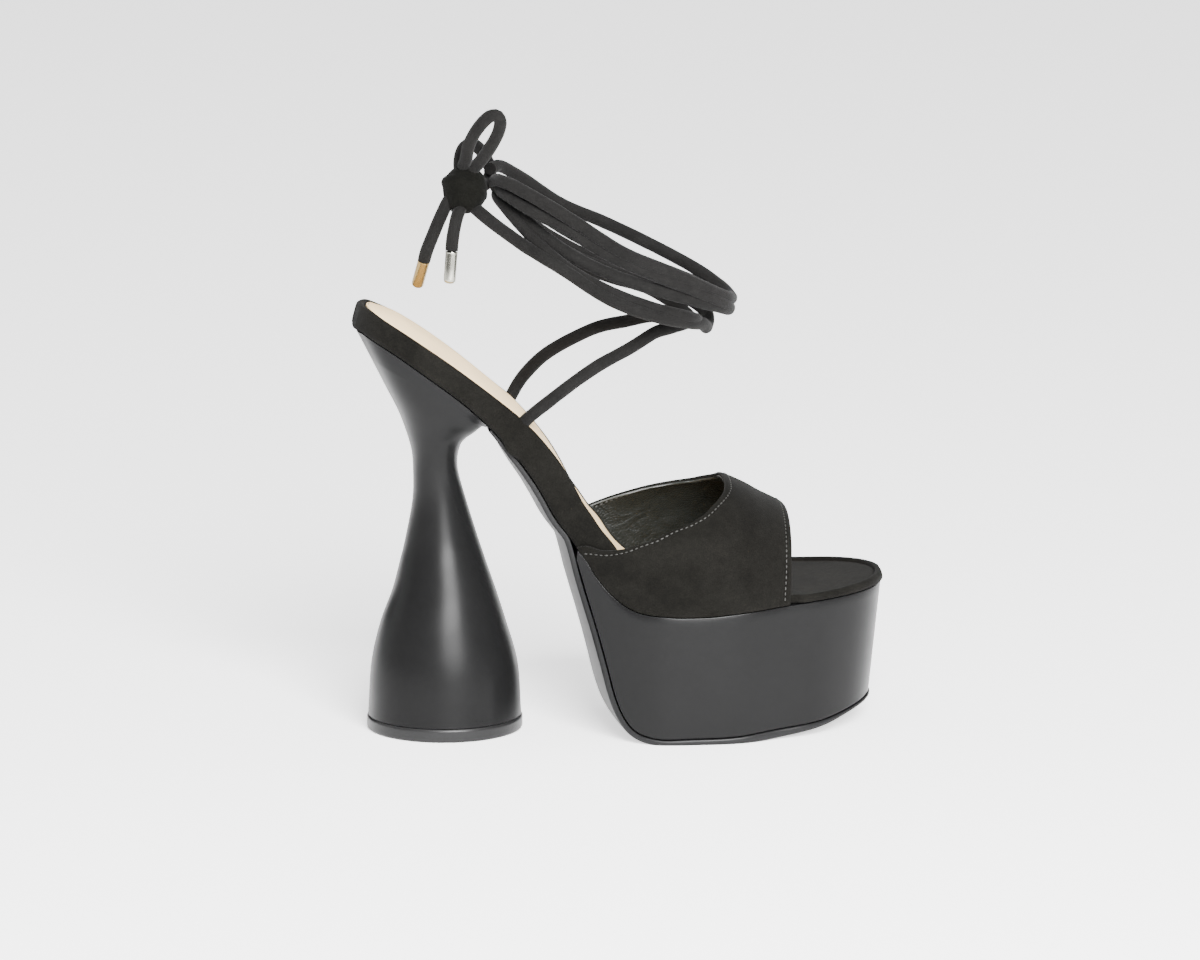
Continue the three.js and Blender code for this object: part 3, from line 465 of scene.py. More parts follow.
def smooth_line(points, fine=24):
    """Line through points, with soft bends between them."""
    p = np.asarray(points, float)
    p = np.vstack([2 * p[0] - p[1], p, 2 * p[-1] - p[-2]])
    made = []
    for i in range(1, len(p) - 2):
        a, b, c, d = p[i - 1 : i + 3]
        d0, d1, d2 = (max(np.linalg.norm(v), 1e-8) ** 0.5 for v in (b - a, c - b, d - c))
        start = ((b - a) / d0 - (c - a) / (d0 + d1) + (c - b) / d1) * d1
        end = ((c - b) / d1 - (d - b) / (d1 + d2) + (d - c) / d2) * d1
        t = np.linspace(0, 1, fine, endpoint=False)[:, None]
        made.append(
            b + start * t + (3 * (c - b) - 2 * start - end) * t**2 + (2 * (b - c) + start + end) * t**3
        )
    made.append(p[-2][None])
    return Line(np.vstack(made))


def place(z, row):
    return np.array([row["along"] * z.length, row.get("across", 0) * z.width, row["rise"] * z.seat_height])


def lowered(line, depth_at, start=0.0, end=1.0):
    """A side-view line that lies a given depth under another one."""
    share = np.linspace(start, end, 260)
    p = line.at(share)
    way = line.way(share)
    up = np.stack([-way[:, 2], np.zeros(len(share)), way[:, 0]], axis=1)
    return Line(p - up * np.reshape(depth_at(p[:, 0], share), (-1, 1)))


def plan_at(z, x, back, tip):
    """Outer and inner edge of the shoe's plan at x, for a piece that ends at back and tip."""
    x = np.asarray(x, float)
    share = np.where(x < 0, 0.5 * x / -back, 0.5 * x / tip)
    middle = along(PLAN, "along", "middle", share) * z.width
    half = along(PLAN, "along", "half", share) * z.width
    start = np.where(share < 0, HEEL_ROUND_FROM, TOE_ROUND_FROM)
    into = np.maximum(0, (share - start) / (np.sign(start) * 0.5 - start))
    half = half * np.sqrt(np.maximum(0, 1 - into * into))
    return middle - half, middle + half


def forms(z):
    """The side-view lines that the sandal's pieces share."""
    f = SimpleNamespace()
    f.rim = smooth_line([place(z, row) for row in FOOTBED])
    f.depth = lambda x: along(FOOTBED, "along", "depth", x / z.length) * z.footbed_depth
    f.under = lowered(f.rim, lambda x, u: f.depth(x))
    f.back = f.rim.points[0, 0]
    f.platform_from = f.under.share_at((UNDERSIDE[0]["along"] + 0.004) * z.length)
    f.top = lowered(f.under, lambda x, u: z.gap, f.platform_from, 1)
    f.bottom = smooth_line([place(z, row) for row in UNDERSIDE])
    f.seat_from = f.under.share_at(SEAT_BACK * z.length)
    f.seat_to = f.under.share_at(SEAT_BREAST * z.length)
    f.seat = lowered(f.under, lambda x, u: z.gap, f.seat_from, f.seat_to)
    f.room = lambda x: 0.2 + (z.vamp_wall + z.gap) * (
        smoothstep(x / z.length, -0.125, -0.1) * (1 - smoothstep(x / z.length, 0.312, 0.334))
    )
    return f


def round_share(count):
    """Shares of a line, drawn together at both ends."""
    return (1 - np.cos(np.pi * np.linspace(0, 1, count))) / 2


def toe_share(count):
    """Shares of a line, drawn together at the toe."""
    return np.sin(np.pi * np.linspace(0, 1, count) / 2)


def outline(z, line, share, inset=0.0, back=None, tip=None):
    """One closed outline on a side-view line: out along the outer side, back along the inner one."""
    start = line.points[0, 0] if back is None else back
    end = line.points[-1, 0] if tip is None else tip
    x = line.at(share)[:, 0]
    outer, inner = plan_at(z, x, start, end)
    s = np.concatenate([share, share[::-1]]) * line.length
    y = np.concatenate([outer, inner[::-1]])
    amount = inset(np.concatenate([x, x[::-1]])) if callable(inset) else np.full(len(s), float(inset))
    count, half = len(s), len(share)
    moved = np.zeros((count, 2))
    for i in range(count):
        a, b = (i - 1) % count, (i + 1) % count
        if math.hypot(s[a] - s[i], y[a] - y[i]) < 1e-6:
            a = (i - 2) % count
        if math.hypot(s[b] - s[i], y[b] - y[i]) < 1e-6:
            b = (i + 2) % count
        if abs(s[a] - s[i]) < 1e-6 or abs(s[b] - s[i]) < 1e-6:
            forwards = 1 if i in (0, count - 1) else -1
            moved[i] = s[i] + forwards * amount[i], y[i] + (amount[i] if i < half else -amount[i])
            continue
        run = math.hypot(s[b] - s[a], y[b] - y[a])
        moved[i] = s[i] - (y[b] - y[a]) / run * amount[i], y[i] + (s[b] - s[a]) / run * amount[i]
    p = line.at(moved[:, 0] / line.length)
    p[:, 1] = moved[:, 1]
    return p


def lofted(rings, first=None, last=None, columns=10):
    """Closed form from rings of equal count, its ends closed straight across the foot."""
    count = len(rings[0])
    half = count // 2
    points = [p for ring in rings for p in ring]
    faces = []
    for r in range(len(rings) - 1):
        for i in range(count):
            a, b = r * count + i, r * count + (i + 1) % count
            faces.append((a, b, b + count, a + count))
    for ring, height in ((0, first), (len(rings) - 1, last)):
        base = ring * count
        grid = []
        for i in range(half):
            row = [base + i]
            for c in range(1, columns):
                t = c / columns
                p = points[base + i] * (1 - t) + points[base + count - 1 - i] * t
                if height and 0 < i < half - 1:
                    p = height(p, t)
                points.append(p)
                row.append(len(points) - 1)
            grid.append(row + [base + count - 1 - i])
        for i in range(half - 1):
            for c in range(columns):
                quad = (grid[i][c], grid[i + 1][c], grid[i + 1][c + 1], grid[i][c + 1])
                faces.append(quad[::-1] if ring == 0 else quad)
    return np.array(points), faces


def placed(name, data):
    """A new object in the scene."""
    made = bpy.data.objects.new(name, data)
    bpy.context.scene.collection.objects.link(made)
    return made


def plain_mesh(carrier):
    """An object's mesh with its modifiers worked in; the object itself goes."""
    bpy.context.view_layer.update()
    graph = bpy.context.evaluated_depsgraph_get()
    mesh = bpy.data.meshes.new_from_object(carrier.evaluated_get(graph), depsgraph=graph)
    bpy.data.objects.remove(carrier)
    return mesh


def piece(name, points, faces, materials, node=None, slot=None, sharp=40, indices=None, uv=None):
    """A finished mesh piece, closed and facing out, that rides on the shoe."""
    mesh = bpy.data.meshes.new(name)
    mesh.from_pydata((np.asarray(points) * MM).tolist(), [], faces)
    if uv is not None:
        layer = mesh.uv_layers.new(name="Surface")
        for loop in mesh.loops:
            layer.data[loop.index].uv = uv[loop.vertex_index]
    if indices is not None:
        mesh.polygons.foreach_set("material_index", indices)
    made = bmesh.new()
    made.from_mesh(mesh)
    bmesh.ops.remove_doubles(made, verts=made.verts, dist=2e-6)
    bmesh.ops.dissolve_degenerate(made, edges=made.edges, dist=1e-7)
    bmesh.ops.recalc_face_normals(made, faces=made.faces)
    made.to_mesh(mesh)
    made.free()
    mesh.polygons.foreach_set("use_smooth", [True] * len(mesh.polygons))
    mesh.set_sharp_from_angle(angle=math.radians(sharp))
    for material in materials:
        mesh.materials.append(material)
    made = placed(name, mesh)
    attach(made, "root")
    if node:
        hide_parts(*([node] if isinstance(node, str) else node))
    return made


# Shader nodes

def add(tree, kind, inputs=None, **settings):
    """A node with its settings, and its inputs linked or set by name or number."""
    made = tree.nodes.new(kind)
    for name, value in settings.items():
        setattr(made, name, value)
    for name, value in (inputs or {}).items():
        socket = made.inputs[name]
        if isinstance(value, bpy.types.NodeSocket):
            tree.links.new(value, socket)
        else:
            socket.default_value = value
    return made


def finish_tree(name, **values):
    """An empty finish group: colour, place and named values in; colour, roughness and height out."""
    tree = bpy.data.node_groups.new(name, "ShaderNodeTree")
    kinds = {"Colour": "NodeSocketColor", "Place": "NodeSocketVector"}
    for label in ("Colour", "Place", *values):
        kind = kinds.get(label, "NodeSocketFloat")
        socket = tree.interface.new_socket(label, in_out="INPUT", socket_type=kind)
        if label in values:
            socket.default_value = values[label]
    for label in ("Colour", "Roughness", "Height"):
        kind = kinds.get(label, "NodeSocketFloat")
        tree.interface.new_socket(label, in_out="OUTPUT", socket_type=kind)
    return tree, tree.nodes.new("NodeGroupInput"), tree.nodes.new("NodeGroupOutput")


def finished(tree, given, result, shade, roughness, height):
    """A finish group with its results set; the shade darkens or lightens its colour."""
    tint = add(tree, "ShaderNodeVectorMath", {0: given.outputs["Colour"], 3: shade}, operation="SCALE")
    for label, value in (("Colour", tint.outputs[0]), ("Roughness", roughness), ("Height", height)):
        tree.links.new(value, result.inputs[label])
    return tree


def noise_at(tree, place_in, scale, detail, **more):
    inputs = {"Vector": place_in, "Scale": scale, "Detail": detail, **more}
    return add(tree, "ShaderNodeTexNoise", inputs).outputs["Fac"]


def cells_at(tree, place_in, scale, feature):
    inputs = {"Vector": place_in, "Scale": scale}
    return add(tree, "ShaderNodeTexVoronoi", inputs, feature=feature).outputs["Distance"]


def calc(tree, operation, a, b=0.0, c=None):
    values = {0: a, 1: b}
    if c is not None:
        values[2] = c
    return add(tree, "ShaderNodeMath", values, operation=operation).outputs[0]


def ranged(tree, value, low, high, to_low, to_high):
    inputs = {"Value": value, "From Min": low, "From Max": high, "To Min": to_low, "To Max": to_high}
    return add(tree, "ShaderNodeMapRange", inputs).outputs[0]


def suede_nap():
    """Brushed nap: soft mottling where the pile lies two ways, and fine fibres."""
    tree, given, result = finish_tree("Suede nap", Mottle=0.35, Fibre=2600.0)
    place_in = given.outputs["Place"]
    broad = noise_at(tree, place_in, 55.0, 4.0, Distortion=0.6)
    middle = noise_at(tree, place_in, 420.0, 3.0)
    fine = noise_at(tree, place_in, given.outputs["Fibre"], 2.0)
    lay = ranged(tree, broad, 0.35, 0.65, 0.0, 1.0)
    shade = calc(tree, "MULTIPLY_ADD", lay, given.outputs["Mottle"], 0.82)
    speck = ranged(tree, fine, 0.3, 0.7, 0.72, 1.3)
    clump = ranged(tree, middle, 0.3, 0.7, 0.86, 1.15)
    total = calc(tree, "MULTIPLY", calc(tree, "MULTIPLY", shade, speck), clump)
    rough = ranged(tree, middle, 0.3, 0.7, 0.82, 0.98)
    height = calc(tree, "MULTIPLY_ADD", fine, 0.65, calc(tree, "MULTIPLY", middle, 0.5))
    return finished(tree, given, result, total, rough, height)


def satin_cover():
    """Smooth coated cover: a faint pebble and slow changes of gloss from handling."""
    tree, given, result = finish_tree("Satin cover", Gloss=0.36, Pebble=1500.0)
    place_in = given.outputs["Place"]
    slow = noise_at(tree, place_in, 24.0, 3.0)
    smear = noise_at(tree, place_in, 150.0, 5.0, Roughness=0.7)
    pebble = cells_at(tree, place_in, given.outputs["Pebble"], "SMOOTH_F1")
    change = ranged(tree, slow, 0.3, 0.7, -0.03, 0.04)
    wiped = ranged(tree, smear, 0.4, 0.75, 0.0, 0.035)
    gloss = calc(tree, "ADD", calc(tree, "ADD", given.outputs["Gloss"], change), wiped)
    shade = ranged(tree, slow, 0.3, 0.7, 0.92, 1.1)
    return finished(tree, given, result, shade, gloss, pebble)


def leather_grain():
    """Grain of a thin lining leather: small cells, pores and long creases."""
    tree, given, result = finish_tree("Leather grain", Cells=1100.0, Creases=0.3, Rough=0.6)
    place_in = given.outputs["Place"]
    bend = noise_at(tree, place_in, 60.0, 3.0)
    cell = cells_at(tree, place_in, given.outputs["Cells"], "DISTANCE_TO_EDGE")
    crease = noise_at(tree, place_in, 95.0, 4.0, Distortion=1.6)
    fold = ranged(tree, crease, 0.46, 0.54, 1.0, 0.0)
    shade = ranged(tree, bend, 0.3, 0.7, 0.93, 1.05)
    edge = ranged(tree, cell, 0.0, 0.25, 0.93, 1.0)
    change = ranged(tree, bend, 0.3, 0.7, -0.05, 0.06)
    rough = calc(tree, "ADD", given.outputs["Rough"], change)
    cells = ranged(tree, cell, 0.0, 0.2, 0.0, 0.5)
    height = calc(tree, "MULTIPLY_ADD", fold, given.outputs["Creases"], cells)
    return finished(tree, given, result, calc(tree, "MULTIPLY", shade, edge), rough, height)


def polished_metal():
    """Plated tube: fine lines along it, small scratches and a hint of tarnish."""
    tree, given, result = finish_tree("Polished metal", Rough=0.18)
    around = given.outputs["Place"]
    stretch = add(tree, "ShaderNodeMapping", {"Vector": around, "Scale": (90.0, 3.0, 1.0)})
    lines = noise_at(tree, stretch.outputs[0], 4.0, 4.0)
    cloud = noise_at(tree, around, 6.0, 3.0)
    shade = ranged(tree, cloud, 0.3, 0.7, 0.86, 1.05)
    change = ranged(tree, lines, 0.3, 0.7, -0.05, 0.1)
    rough = calc(tree, "ADD", given.outputs["Rough"], change)
    return finished(tree, given, result, shade, rough, lines)


GROUPS = {}


def finish_group(name, build):
    if name not in GROUPS:
        GROUPS[name] = build()
    return GROUPS[name]


def material(name, build, values, bump, constants, uv=False):
    """A material from one finish group, its bump and the shader's own constant values."""
    found = bpy.data.materials.get(name)
    if found:
        return found
    made = bpy.data.materials.new(name)
    made.use_nodes = True
    tree = made.node_tree
    tree.nodes.clear()
    shader = add(tree, "ShaderNodeBsdfPrincipled")
    for label, value in constants.items():
        shader.inputs[label].default_value = value
    coords = add(tree, "ShaderNodeTexCoord")
    finish = add(tree, "ShaderNodeGroup", node_tree=finish_group(build.__name__, build))
    for label, value in values.items():
        finish.inputs[label].default_value = value
    tree.links.new(coords.outputs["UV" if uv else "Object"], finish.inputs["Place"])
    tree.links.new(finish.outputs["Colour"], shader.inputs["Base Color"])
    tree.links.new(finish.outputs["Roughness"], shader.inputs["Roughness"])
    strength, distance = bump
    height = finish.outputs["Height"]
    relief = add(tree, "ShaderNodeBump", {"Strength": strength, "Distance": distance, "Height": height})
    tree.links.new(relief.outputs["Normal"], shader.inputs["Normal"])
    result = add(tree, "ShaderNodeOutputMaterial")
    tree.links.new(shader.outputs[0], result.inputs["Surface"])
    return made


def colour(name):
    return (*getattr(bpy.context.scene.sandal_colours, name), 1)


def suede():
    return material(
        "Black suede", suede_nap, {"Colour": colour("suede"), "Mottle": 0.4, "Fibre": 2400.0}, (0.55, 0.0004),
        {"Sheen Weight": 0.022, "Sheen Roughness": 0.5, "Specular IOR Level": 0.02},
    )


def cord_suede():
    return material(
        "Suede cord", suede_nap, {"Colour": colour("cord"), "Mottle": 0.3, "Fibre": 3000.0}, (0.6, 0.0004),
        {"Sheen Weight": 0.045, "Sheen Roughness": 0.45, "Specular IOR Level": 0.04},
    )


# The knot is the cord's suede made darker and given less sheen: painted shade, as if the knot lay in shadow.
def knot_suede_painted_shade():
    return material(
        "Knot suede with painted shade", suede_nap, {"Colour": (0.0032, 0.0032, 0.0027, 1), "Mottle": 0.3, "Fibre": 3000.0},
        (0.6, 0.0004), {"Sheen Weight": 0.018, "Sheen Roughness": 0.45, "Specular IOR Level": 0.02},
    )


def cover():
    return material(
        "Satin black cover", satin_cover, {"Colour": colour("cover"), "Gloss": 0.3}, (0.05, 0.0001),
        {"Specular IOR Level": 0.1},
    )


def sole_rubber():
    return material(
        "Smooth sole", satin_cover, {"Colour": colour("outsole"), "Gloss": 0.4, "Pebble": 900.0},
        (0.12, 0.0002), {"Specular IOR Level": 0.16},
    )


def top_rubber():
    return material(
        "Top piece rubber", satin_cover, {"Colour": (0.01, 0.01, 0.0102, 1), "Gloss": 0.34, "Pebble": 1200.0},
        (0.15, 0.0002), {"Specular IOR Level": 0.2},
    )


def sock_leather():
    return material(
        "Cream sock leather", leather_grain,
        {"Colour": colour("sock"), "Cells": 1200.0, "Creases": 0.1, "Rough": 0.62}, (0.12, 0.0003),
        {"Specular IOR Level": 0.35},
    )


def lining_leather():
    return material(
        "Dark lining leather", leather_grain,
        {"Colour": colour("lining"), "Cells": 900.0, "Creases": 0.8, "Rough": 0.42}, (0.45, 0.0006),
        {"Specular IOR Level": 0.16},
    )


# The rolled edge is the lining leather with a glossier finish, which is real. Its colour is lighter than the
# lining's, which is a painted highlight along the edge.
def turned_edge():
    return material(
        "Turned lining edge with painted highlight", leather_grain,
        {"Colour": (0.012, 0.0135, 0.0117, 1), "Cells": 1500.0, "Creases": 0.6, "Rough": 0.34}, (0.3, 0.0003),
        {"Specular IOR Level": 0.4},
    )


def thread():
    return material(
        "Waxed thread", satin_cover, {"Colour": (0.013, 0.0127, 0.011, 1), "Gloss": 0.5, "Pebble": 5000.0},
        (0.3, 0.0001), {"Specular IOR Level": 0.5},
    )


def gold_metal():
    return material(
        "Gold plate", polished_metal, {"Colour": colour("gold"), "Rough": 0.22}, (0.04, 0.0001),
        {"Metallic": 1.0}, uv=True,
    )


def silver_metal():
    return material(
        "Silver plate", polished_metal, {"Colour": colour("silver"), "Rough": 0.16}, (0.04, 0.0001),
        {"Metallic": 1.0}, uv=True,
    )


# Forms of the pieces

def over_tie(z, points, rows, side):
    """Points of the band's wall swollen over the tie that runs in under its cover."""
    path = smooth_line([place(z, row) for row in rows[:4]], fine=12).points
    flat = path[:, [0, 2]]
    for i, p in enumerate(points):
        if abs(p[0] - path[1, 0]) > TIE_NEAR:
            continue
        near = np.linalg.norm(flat - p[[0, 2]], axis=1).min()
        foot = np.linalg.norm(flat[0] - p[[0, 2]])
        swell = TIE_SWELL * math.exp(-((near / SWELL_WIDE) ** 2))
        lump = TIE_LUMP * math.exp(-((foot / LUMP_WIDE) ** 2))
        points[i] = p + np.array([-0.5 * lump, side * swell, -0.8 * lump])
    return points


def waist(z, x):
    """Share of the deeper seat that the sock has at the waist of the foot."""
    return smoothstep(x / z.length, -0.2, -0.1)


def footbed_form(z, f):
    share = round_share(340)
    tray = lambda x: 1 - smoothstep(x / z.length, 0.1, 0.24) + waist(z, x)
    ends = lambda x: 1.2 * smoothstep(x / z.length, 0.3, 0.47) + 1.3 * smoothstep(-x / z.length, 0.4, 0.485)

    def level(row):
        line = lowered(f.rim, lambda x, u: row["depth"] * f.depth(x) + row["sunk"] * tray(x))
        ring = outline(z, line, share, lambda x: f.room(x) + row["inset"] - row["full"] * ends(x))
        half = len(share)
        ring[:half] = over_tie(z, ring[:half], OUTER_LEAD, -1)
        ring[half:] = over_tie(z, ring[half:], INNER_LEAD, 1)
        return ring

    profile = table(
        "depth sunk inset full",
        (1, 0, 1.6, 0.1), (0.99, 0, 0.95, 0.4), (0.95, 0, 0.45, 0.7), (0.88, 0, 0.12, 0.9), (0.78, 0, 0, 1),
        (0.6, 0, -0.08, 1), (0.38, 0, -0.1, 1), (0.22, -0.05, -0.05, 0.9), (0.12, -0.1, 0.12, 0.8),
        (0.06, -0.16, 0.35, 0.7), (0.02, -0.2, 0.65, 0.5), (0, -0.22, 1.0, 0.3), (0, -0.16, 1.35, 0.1),
        (0, 0.1, 1.65, 0), (0, 0.6, 1.8, 0), (0, 1.2, 1.95, 0), (0, 1.3, 2.6, 0),
    )
    return lofted([level(row) for row in profile], columns=14)


def sock_form(z, f):
    start, end = 0.004, 0.78
    share = round_share(220)

    def layer(height, inset):
        line = lowered(f.rim, lambda x, u: WAIST_DROP * waist(z, x) - height, start, end)
        tip = line.points[-1, 0] + 0.18 * z.length
        return outline(z, line, share, lambda x: f.room(x) + z.sock_inset + inset, tip=tip)

    def pad(p, t):
        in_heel = 1 - smoothstep(p[0] / z.length, -0.36, -0.08)
        in_back = smoothstep(p[0] / z.length, -0.49, -0.42)
        lift = z.heel_pad * 4 * t * (1 - t) * in_heel * in_back + 0.12 * math.sin(math.pi * t)
        return p + np.array([0.5 * lift, 0, 0.85 * lift])

    low, high = -z.sock_thickness + 0.25, 0.25
    profile = (
        (low, 0), (low + 0.3, -0.32), (high - 0.5, -0.36), (high - 0.18, -0.22), (high - 0.05, 0.05),
        (high, 0.4),
    )
    return lofted([layer(height, inset) for height, inset in profile], last=pad, columns=24)


def platform_form(z, f):
    share_up = toe_share(150)
    share_low = along(WALL_PAIRS, "upper", "lower", share_up)
    upper = outline(z, f.top, share_up, back=f.back)
    lower = outline(z, f.bottom, share_low, 0.8, back=f.back)
    inner = outline(z, f.bottom, share_low, 1.5, back=f.back)
    rings = [inner, lower + (inner - lower) * 0.35]
    wall = upper - lower
    steep = np.linalg.norm(wall, axis=1, keepdims=True)
    for rise in (0.25, 0.9):
        rings.append(lower + wall * np.minimum(1, rise / np.maximum(steep, 1e-6)))
    rings += [lower + wall * k for k in (0.08, 0.2, 0.35, 0.5, 0.65, 0.8, 0.92)]
    top_inset = outline(z, f.top, share_up, PLATFORM_LIP, back=f.back)
    lip = upper - wall * np.minimum(1, PLATFORM_LIP / np.maximum(steep, 1e-6))
    rings += [lip, upper * 0.5 + top_inset * 0.5, top_inset]
    return lofted(rings)


def outsole_line(z, f):
    shank = lowered(f.under, lambda x, u: z.gap, f.seat_to, f.platform_from - 0.02)
    below = lowered(f.bottom, lambda x, u: 1.5 * z.gap, 0.05, 1)
    return smooth_line([*shank.at(np.linspace(0, 1, 15)), *below.at(np.linspace(0, 1, 41))], fine=8)


def outsole_form(z, f):
    upper = outsole_line(z, f)
    thick = lambda x: along(UNDERSIDE, "along", "sole", x / z.length) * z.sole_thickness
    t = np.linspace(0, 1, 170)
    share = np.where(t < 0.75, t * 1.06, 0.795 + 0.205 * np.sin((t - 0.75) / 0.25 * np.pi / 2))
    in_shank = lambda x: 1 - smoothstep(x / z.length, -0.1, -0.04)

    def layer(depth, more):
        line = lowered(upper, lambda x, u: depth * thick(x) * np.minimum(1, 0.45 + 9 * u))
        ring = outline(z, line, share, lambda x: 0.6 + 1.9 * in_shank(x) + more, back=f.back)
        ring[:, 2] = np.maximum(ring[:, 2], 0)
        return ring

    def belly(p, t):
        amount = 1.9 * (1 - smoothstep(p[0] / z.length, -0.03, 0.03)) * 4 * t * (1 - t)
        amount *= smoothstep(p[0] / z.length, SEAT_BREAST, SEAT_BREAST + 0.06)
        return np.array([p[0] - 0.88 * amount, p[1], max(0, p[2] - 0.45 * amount)])

    profile = ((1, 0.9), (0.97, 0.45), (0.85, 0.12), (0.6, 0), (0.3, 0), (0.08, 0.1), (0, 0.4))
    return lofted([layer(depth, more) for depth, more in profile], first=belly, columns=16)


def heel_middle(z):
    """Middle of the heel across the foot."""
    return sum(plan_at(z, -0.32 * z.length, -0.5 * z.length, 0.5 * z.length)) / 2


def heel_rings(z, f):
    rows = [{**row, "i": i} for i, row in enumerate(HEEL)]
    columns = list(HEEL[0])
    middle = heel_middle(z)
    seat_start = f.seat.at(0)
    chord = f.seat.at(1) - seat_start
    seat_up = np.array([-chord[2], 0, chord[0]]) / np.linalg.norm(chord)
    around = round_share(56)
    seat = f.seat.at(around)
    seat_outer, seat_inner = plan_at(z, seat[:, 0], f.under.points[0, 0], 0.5 * z.length)
    bow = (seat - seat_start) @ seat_up
    rings = []
    for at in np.linspace(0, len(HEEL) - 1, 8 * (len(HEEL) - 1) + 1):
        row = {name: float(along(rows, "i", name, at)) for name in columns}
        back = np.array([row["back"] * z.length, 0, row["back_rise"] * z.seat_height])
        breast = np.array([row["breast"] * z.length, 0, row["breast_rise"] * z.seat_height])
        line = breast - back
        up = np.array([-line[2], 0, line[0]]) / np.linalg.norm(line)
        p = back + line * around[:, None] + up * (bow * row["seat"])[:, None]
        reach = np.abs(2 * around - 1) ** row["square"]
        oval = row["half"] * z.width * np.maximum(0, 1 - reach) ** (1 / row["square"])
        pull = row["seat"] ** 2 * smoothstep(around, 0.35, 1) * 0.5
        outer, inner = p.copy(), p.copy()
        outer[:, 1] = (middle - oval) * (1 - pull) + seat_outer * pull
        inner[:, 1] = (middle + oval) * (1 - pull) + seat_inner * pull
        rings.append(np.vstack([outer, inner[::-1]]))
    outer, inner = seat.copy(), seat.copy()
    outer[:, 1], inner[:, 1] = seat_outer + 0.9, seat_inner - 0.9
    rings.append(np.vstack([outer, inner[::-1]]))
    return rings


def lathed(profile, around=64):
    """Closed turned form about Z from a profile of radius and height."""
    points, faces, uv = [], [], []
    for j, (radius, height) in enumerate(profile):
        for i in range(around):
            a = 2 * math.pi * i / around
            points.append((radius * math.cos(a), radius * math.sin(a), height))
            uv.append((i / around, j / (len(profile) - 1)))
    for j in range(len(profile) - 1):
        for i in range(around):
            a, b = j * around + i, j * around + (i + 1) % around
            faces.append((a, b, b + around, a + around))
    faces.append(tuple(range(around - 1, -1, -1)))
    faces.append(tuple(range((len(profile) - 1) * around, len(profile) * around)))
    return np.array(points), faces, uv


def tube(line, width, sides=16, stride=1.1, wobble=0.02, seed=0.0):
    """Round cord along a line, with its rings' centres and a map of along and around."""
    count = max(12, int(line.length / stride))
    share = np.linspace(0, 1, count + 1)
    centres = line.at(share)
    ways = line.way(share, min(0.01, 1.5 / line.length))
    side = np.cross(ways[0], [0, 0, 1.0])
    if np.linalg.norm(side) < 0.2:
        side = np.cross(ways[0], [0, 1.0, 0])
    points, faces, uv = [], [], []
    for r, (centre, way) in enumerate(zip(centres, ways)):
        side = side - way * (side @ way)
        side /= np.linalg.norm(side)
        other = np.cross(way, side)
        for i in range(sides):
            a = 2 * math.pi * i / sides
            n = noise.noise(Vector((r * 0.16 + seed, 1.3 * math.cos(a), 1.3 * math.sin(a))))
            radius = width / 2 * (1 + wobble * (2 * n - 0.4))
            points.append(centre + radius * (math.cos(a) * side + math.sin(a) * other))
            uv.append((share[r] * line.length / width, i / sides))
    for r in range(count):
        for i in range(sides):
            a, b = r * sides + i, r * sides + (i + 1) % sides
            faces.append((a, b, b + sides, a + sides))
    faces.append(tuple(range(sides - 1, -1, -1)))
    faces.append(tuple(range(count * sides, (count + 1) * sides)))
    return np.array(points), faces, uv, centres


def joined(*forms_in):
    """Several forms as one list of points and faces."""
    points, faces, uv, start = [], [], [], 0
    for form in forms_in:
        points.append(form[0])
        faces += [tuple(i + start for i in face) for face in form[1]]
        uv += list(form[2])
        start += len(form[0])
    return np.vstack(points), faces, uv


def turn_point(z, rows, key, sign):
    a = math.radians(sign * key)
    out = float(along(rows, "key", "out", key)) * z.cord
    return np.array([
        RING.along * z.length + (RING.reach * z.length + out) * math.cos(a),
        RING.across * z.width - (RING.half * z.width + out) * math.sin(a),
        float(along(rows, "key", "rise", key)) * z.seat_height,
    ])


def tie_line(z, lead, turns):
    """A tie's whole way: its lead from the anchor, then its turns round the ankle."""
    points = [place(z, row) for row in lead]
    rows = [{**row, "key": abs(row["turn"])} for row in turns]
    sign = math.copysign(1, turns[-1]["turn"])
    key, last = rows[0]["key"], rows[-1]["key"]
    while key < last:
        points.append(turn_point(z, rows, key, sign))
        key += TURN_STEP
    points.append(turn_point(z, rows, last, sign))
    return smooth_line(points, fine=16)


def rim_under_vamp(z, f, x):
    start, way = f.top.points[0], f.top.way(0.0)
    level = f.top.rise_at(x) + 1.6 * z.gap
    before = start[2] + 1.6 * z.gap + (x - start[0]) * way[2] / way[0]
    return np.where(x < start[0], before, level)


def vamp_point(z, f, x, angle):
    """Outer face of the vamp at x and angle round the foot."""
    outer, inner = plan_at(z, x, f.back, f.top.points[-1, 0])
    middle, half = (outer + inner) / 2, (inner - outer) / 2
    a = np.radians(angle)
    base = rim_under_vamp(z, f, x)
    height = along(CROWN, "along", "rise", x / z.length) * z.seat_height - base
    lift = height * np.maximum(0, np.sin(a)) ** (2 / BAND_FULL)
    wall = np.minimum(f.rim.rise_at(x) + 1.5 - base, 0.85 * height)
    over = np.maximum(0, (lift - wall) / (height - wall))
    across = np.sign(np.cos(a)) * np.maximum(0, 1 - over**BAND_FULL) ** (1 / BAND_FULL)
    return np.stack([x, middle - half * across, base + lift], axis=-1)


def vamp_normal(z, f, x, angle):
    """Outward direction of the vamp's face."""
    dx = vamp_point(z, f, x + 0.5, angle) - vamp_point(z, f, x - 0.5, angle)
    low, high = np.maximum(angle - 1, 0.3), np.minimum(angle + 1, 179.7)
    turn = vamp_point(z, f, x, high) - vamp_point(z, f, x, low)
    normal = np.cross(dx, turn)
    return normal / np.linalg.norm(normal, axis=-1, keepdims=True)


def vamp_grid(z, f, angles, distances):
    """Points and normals of the vamp at each angle and each share from throat to front."""
    throat = along(VAMP_EDGE, "angle", "throat", angles) * z.length
    front = along(VAMP_EDGE, "angle", "front", angles) * z.length
    x = throat[:, None] + distances(front - throat)
    angle = np.broadcast_to(angles[:, None], x.shape)
    return vamp_point(z, f, x, angle), vamp_normal(z, f, x, angle), x


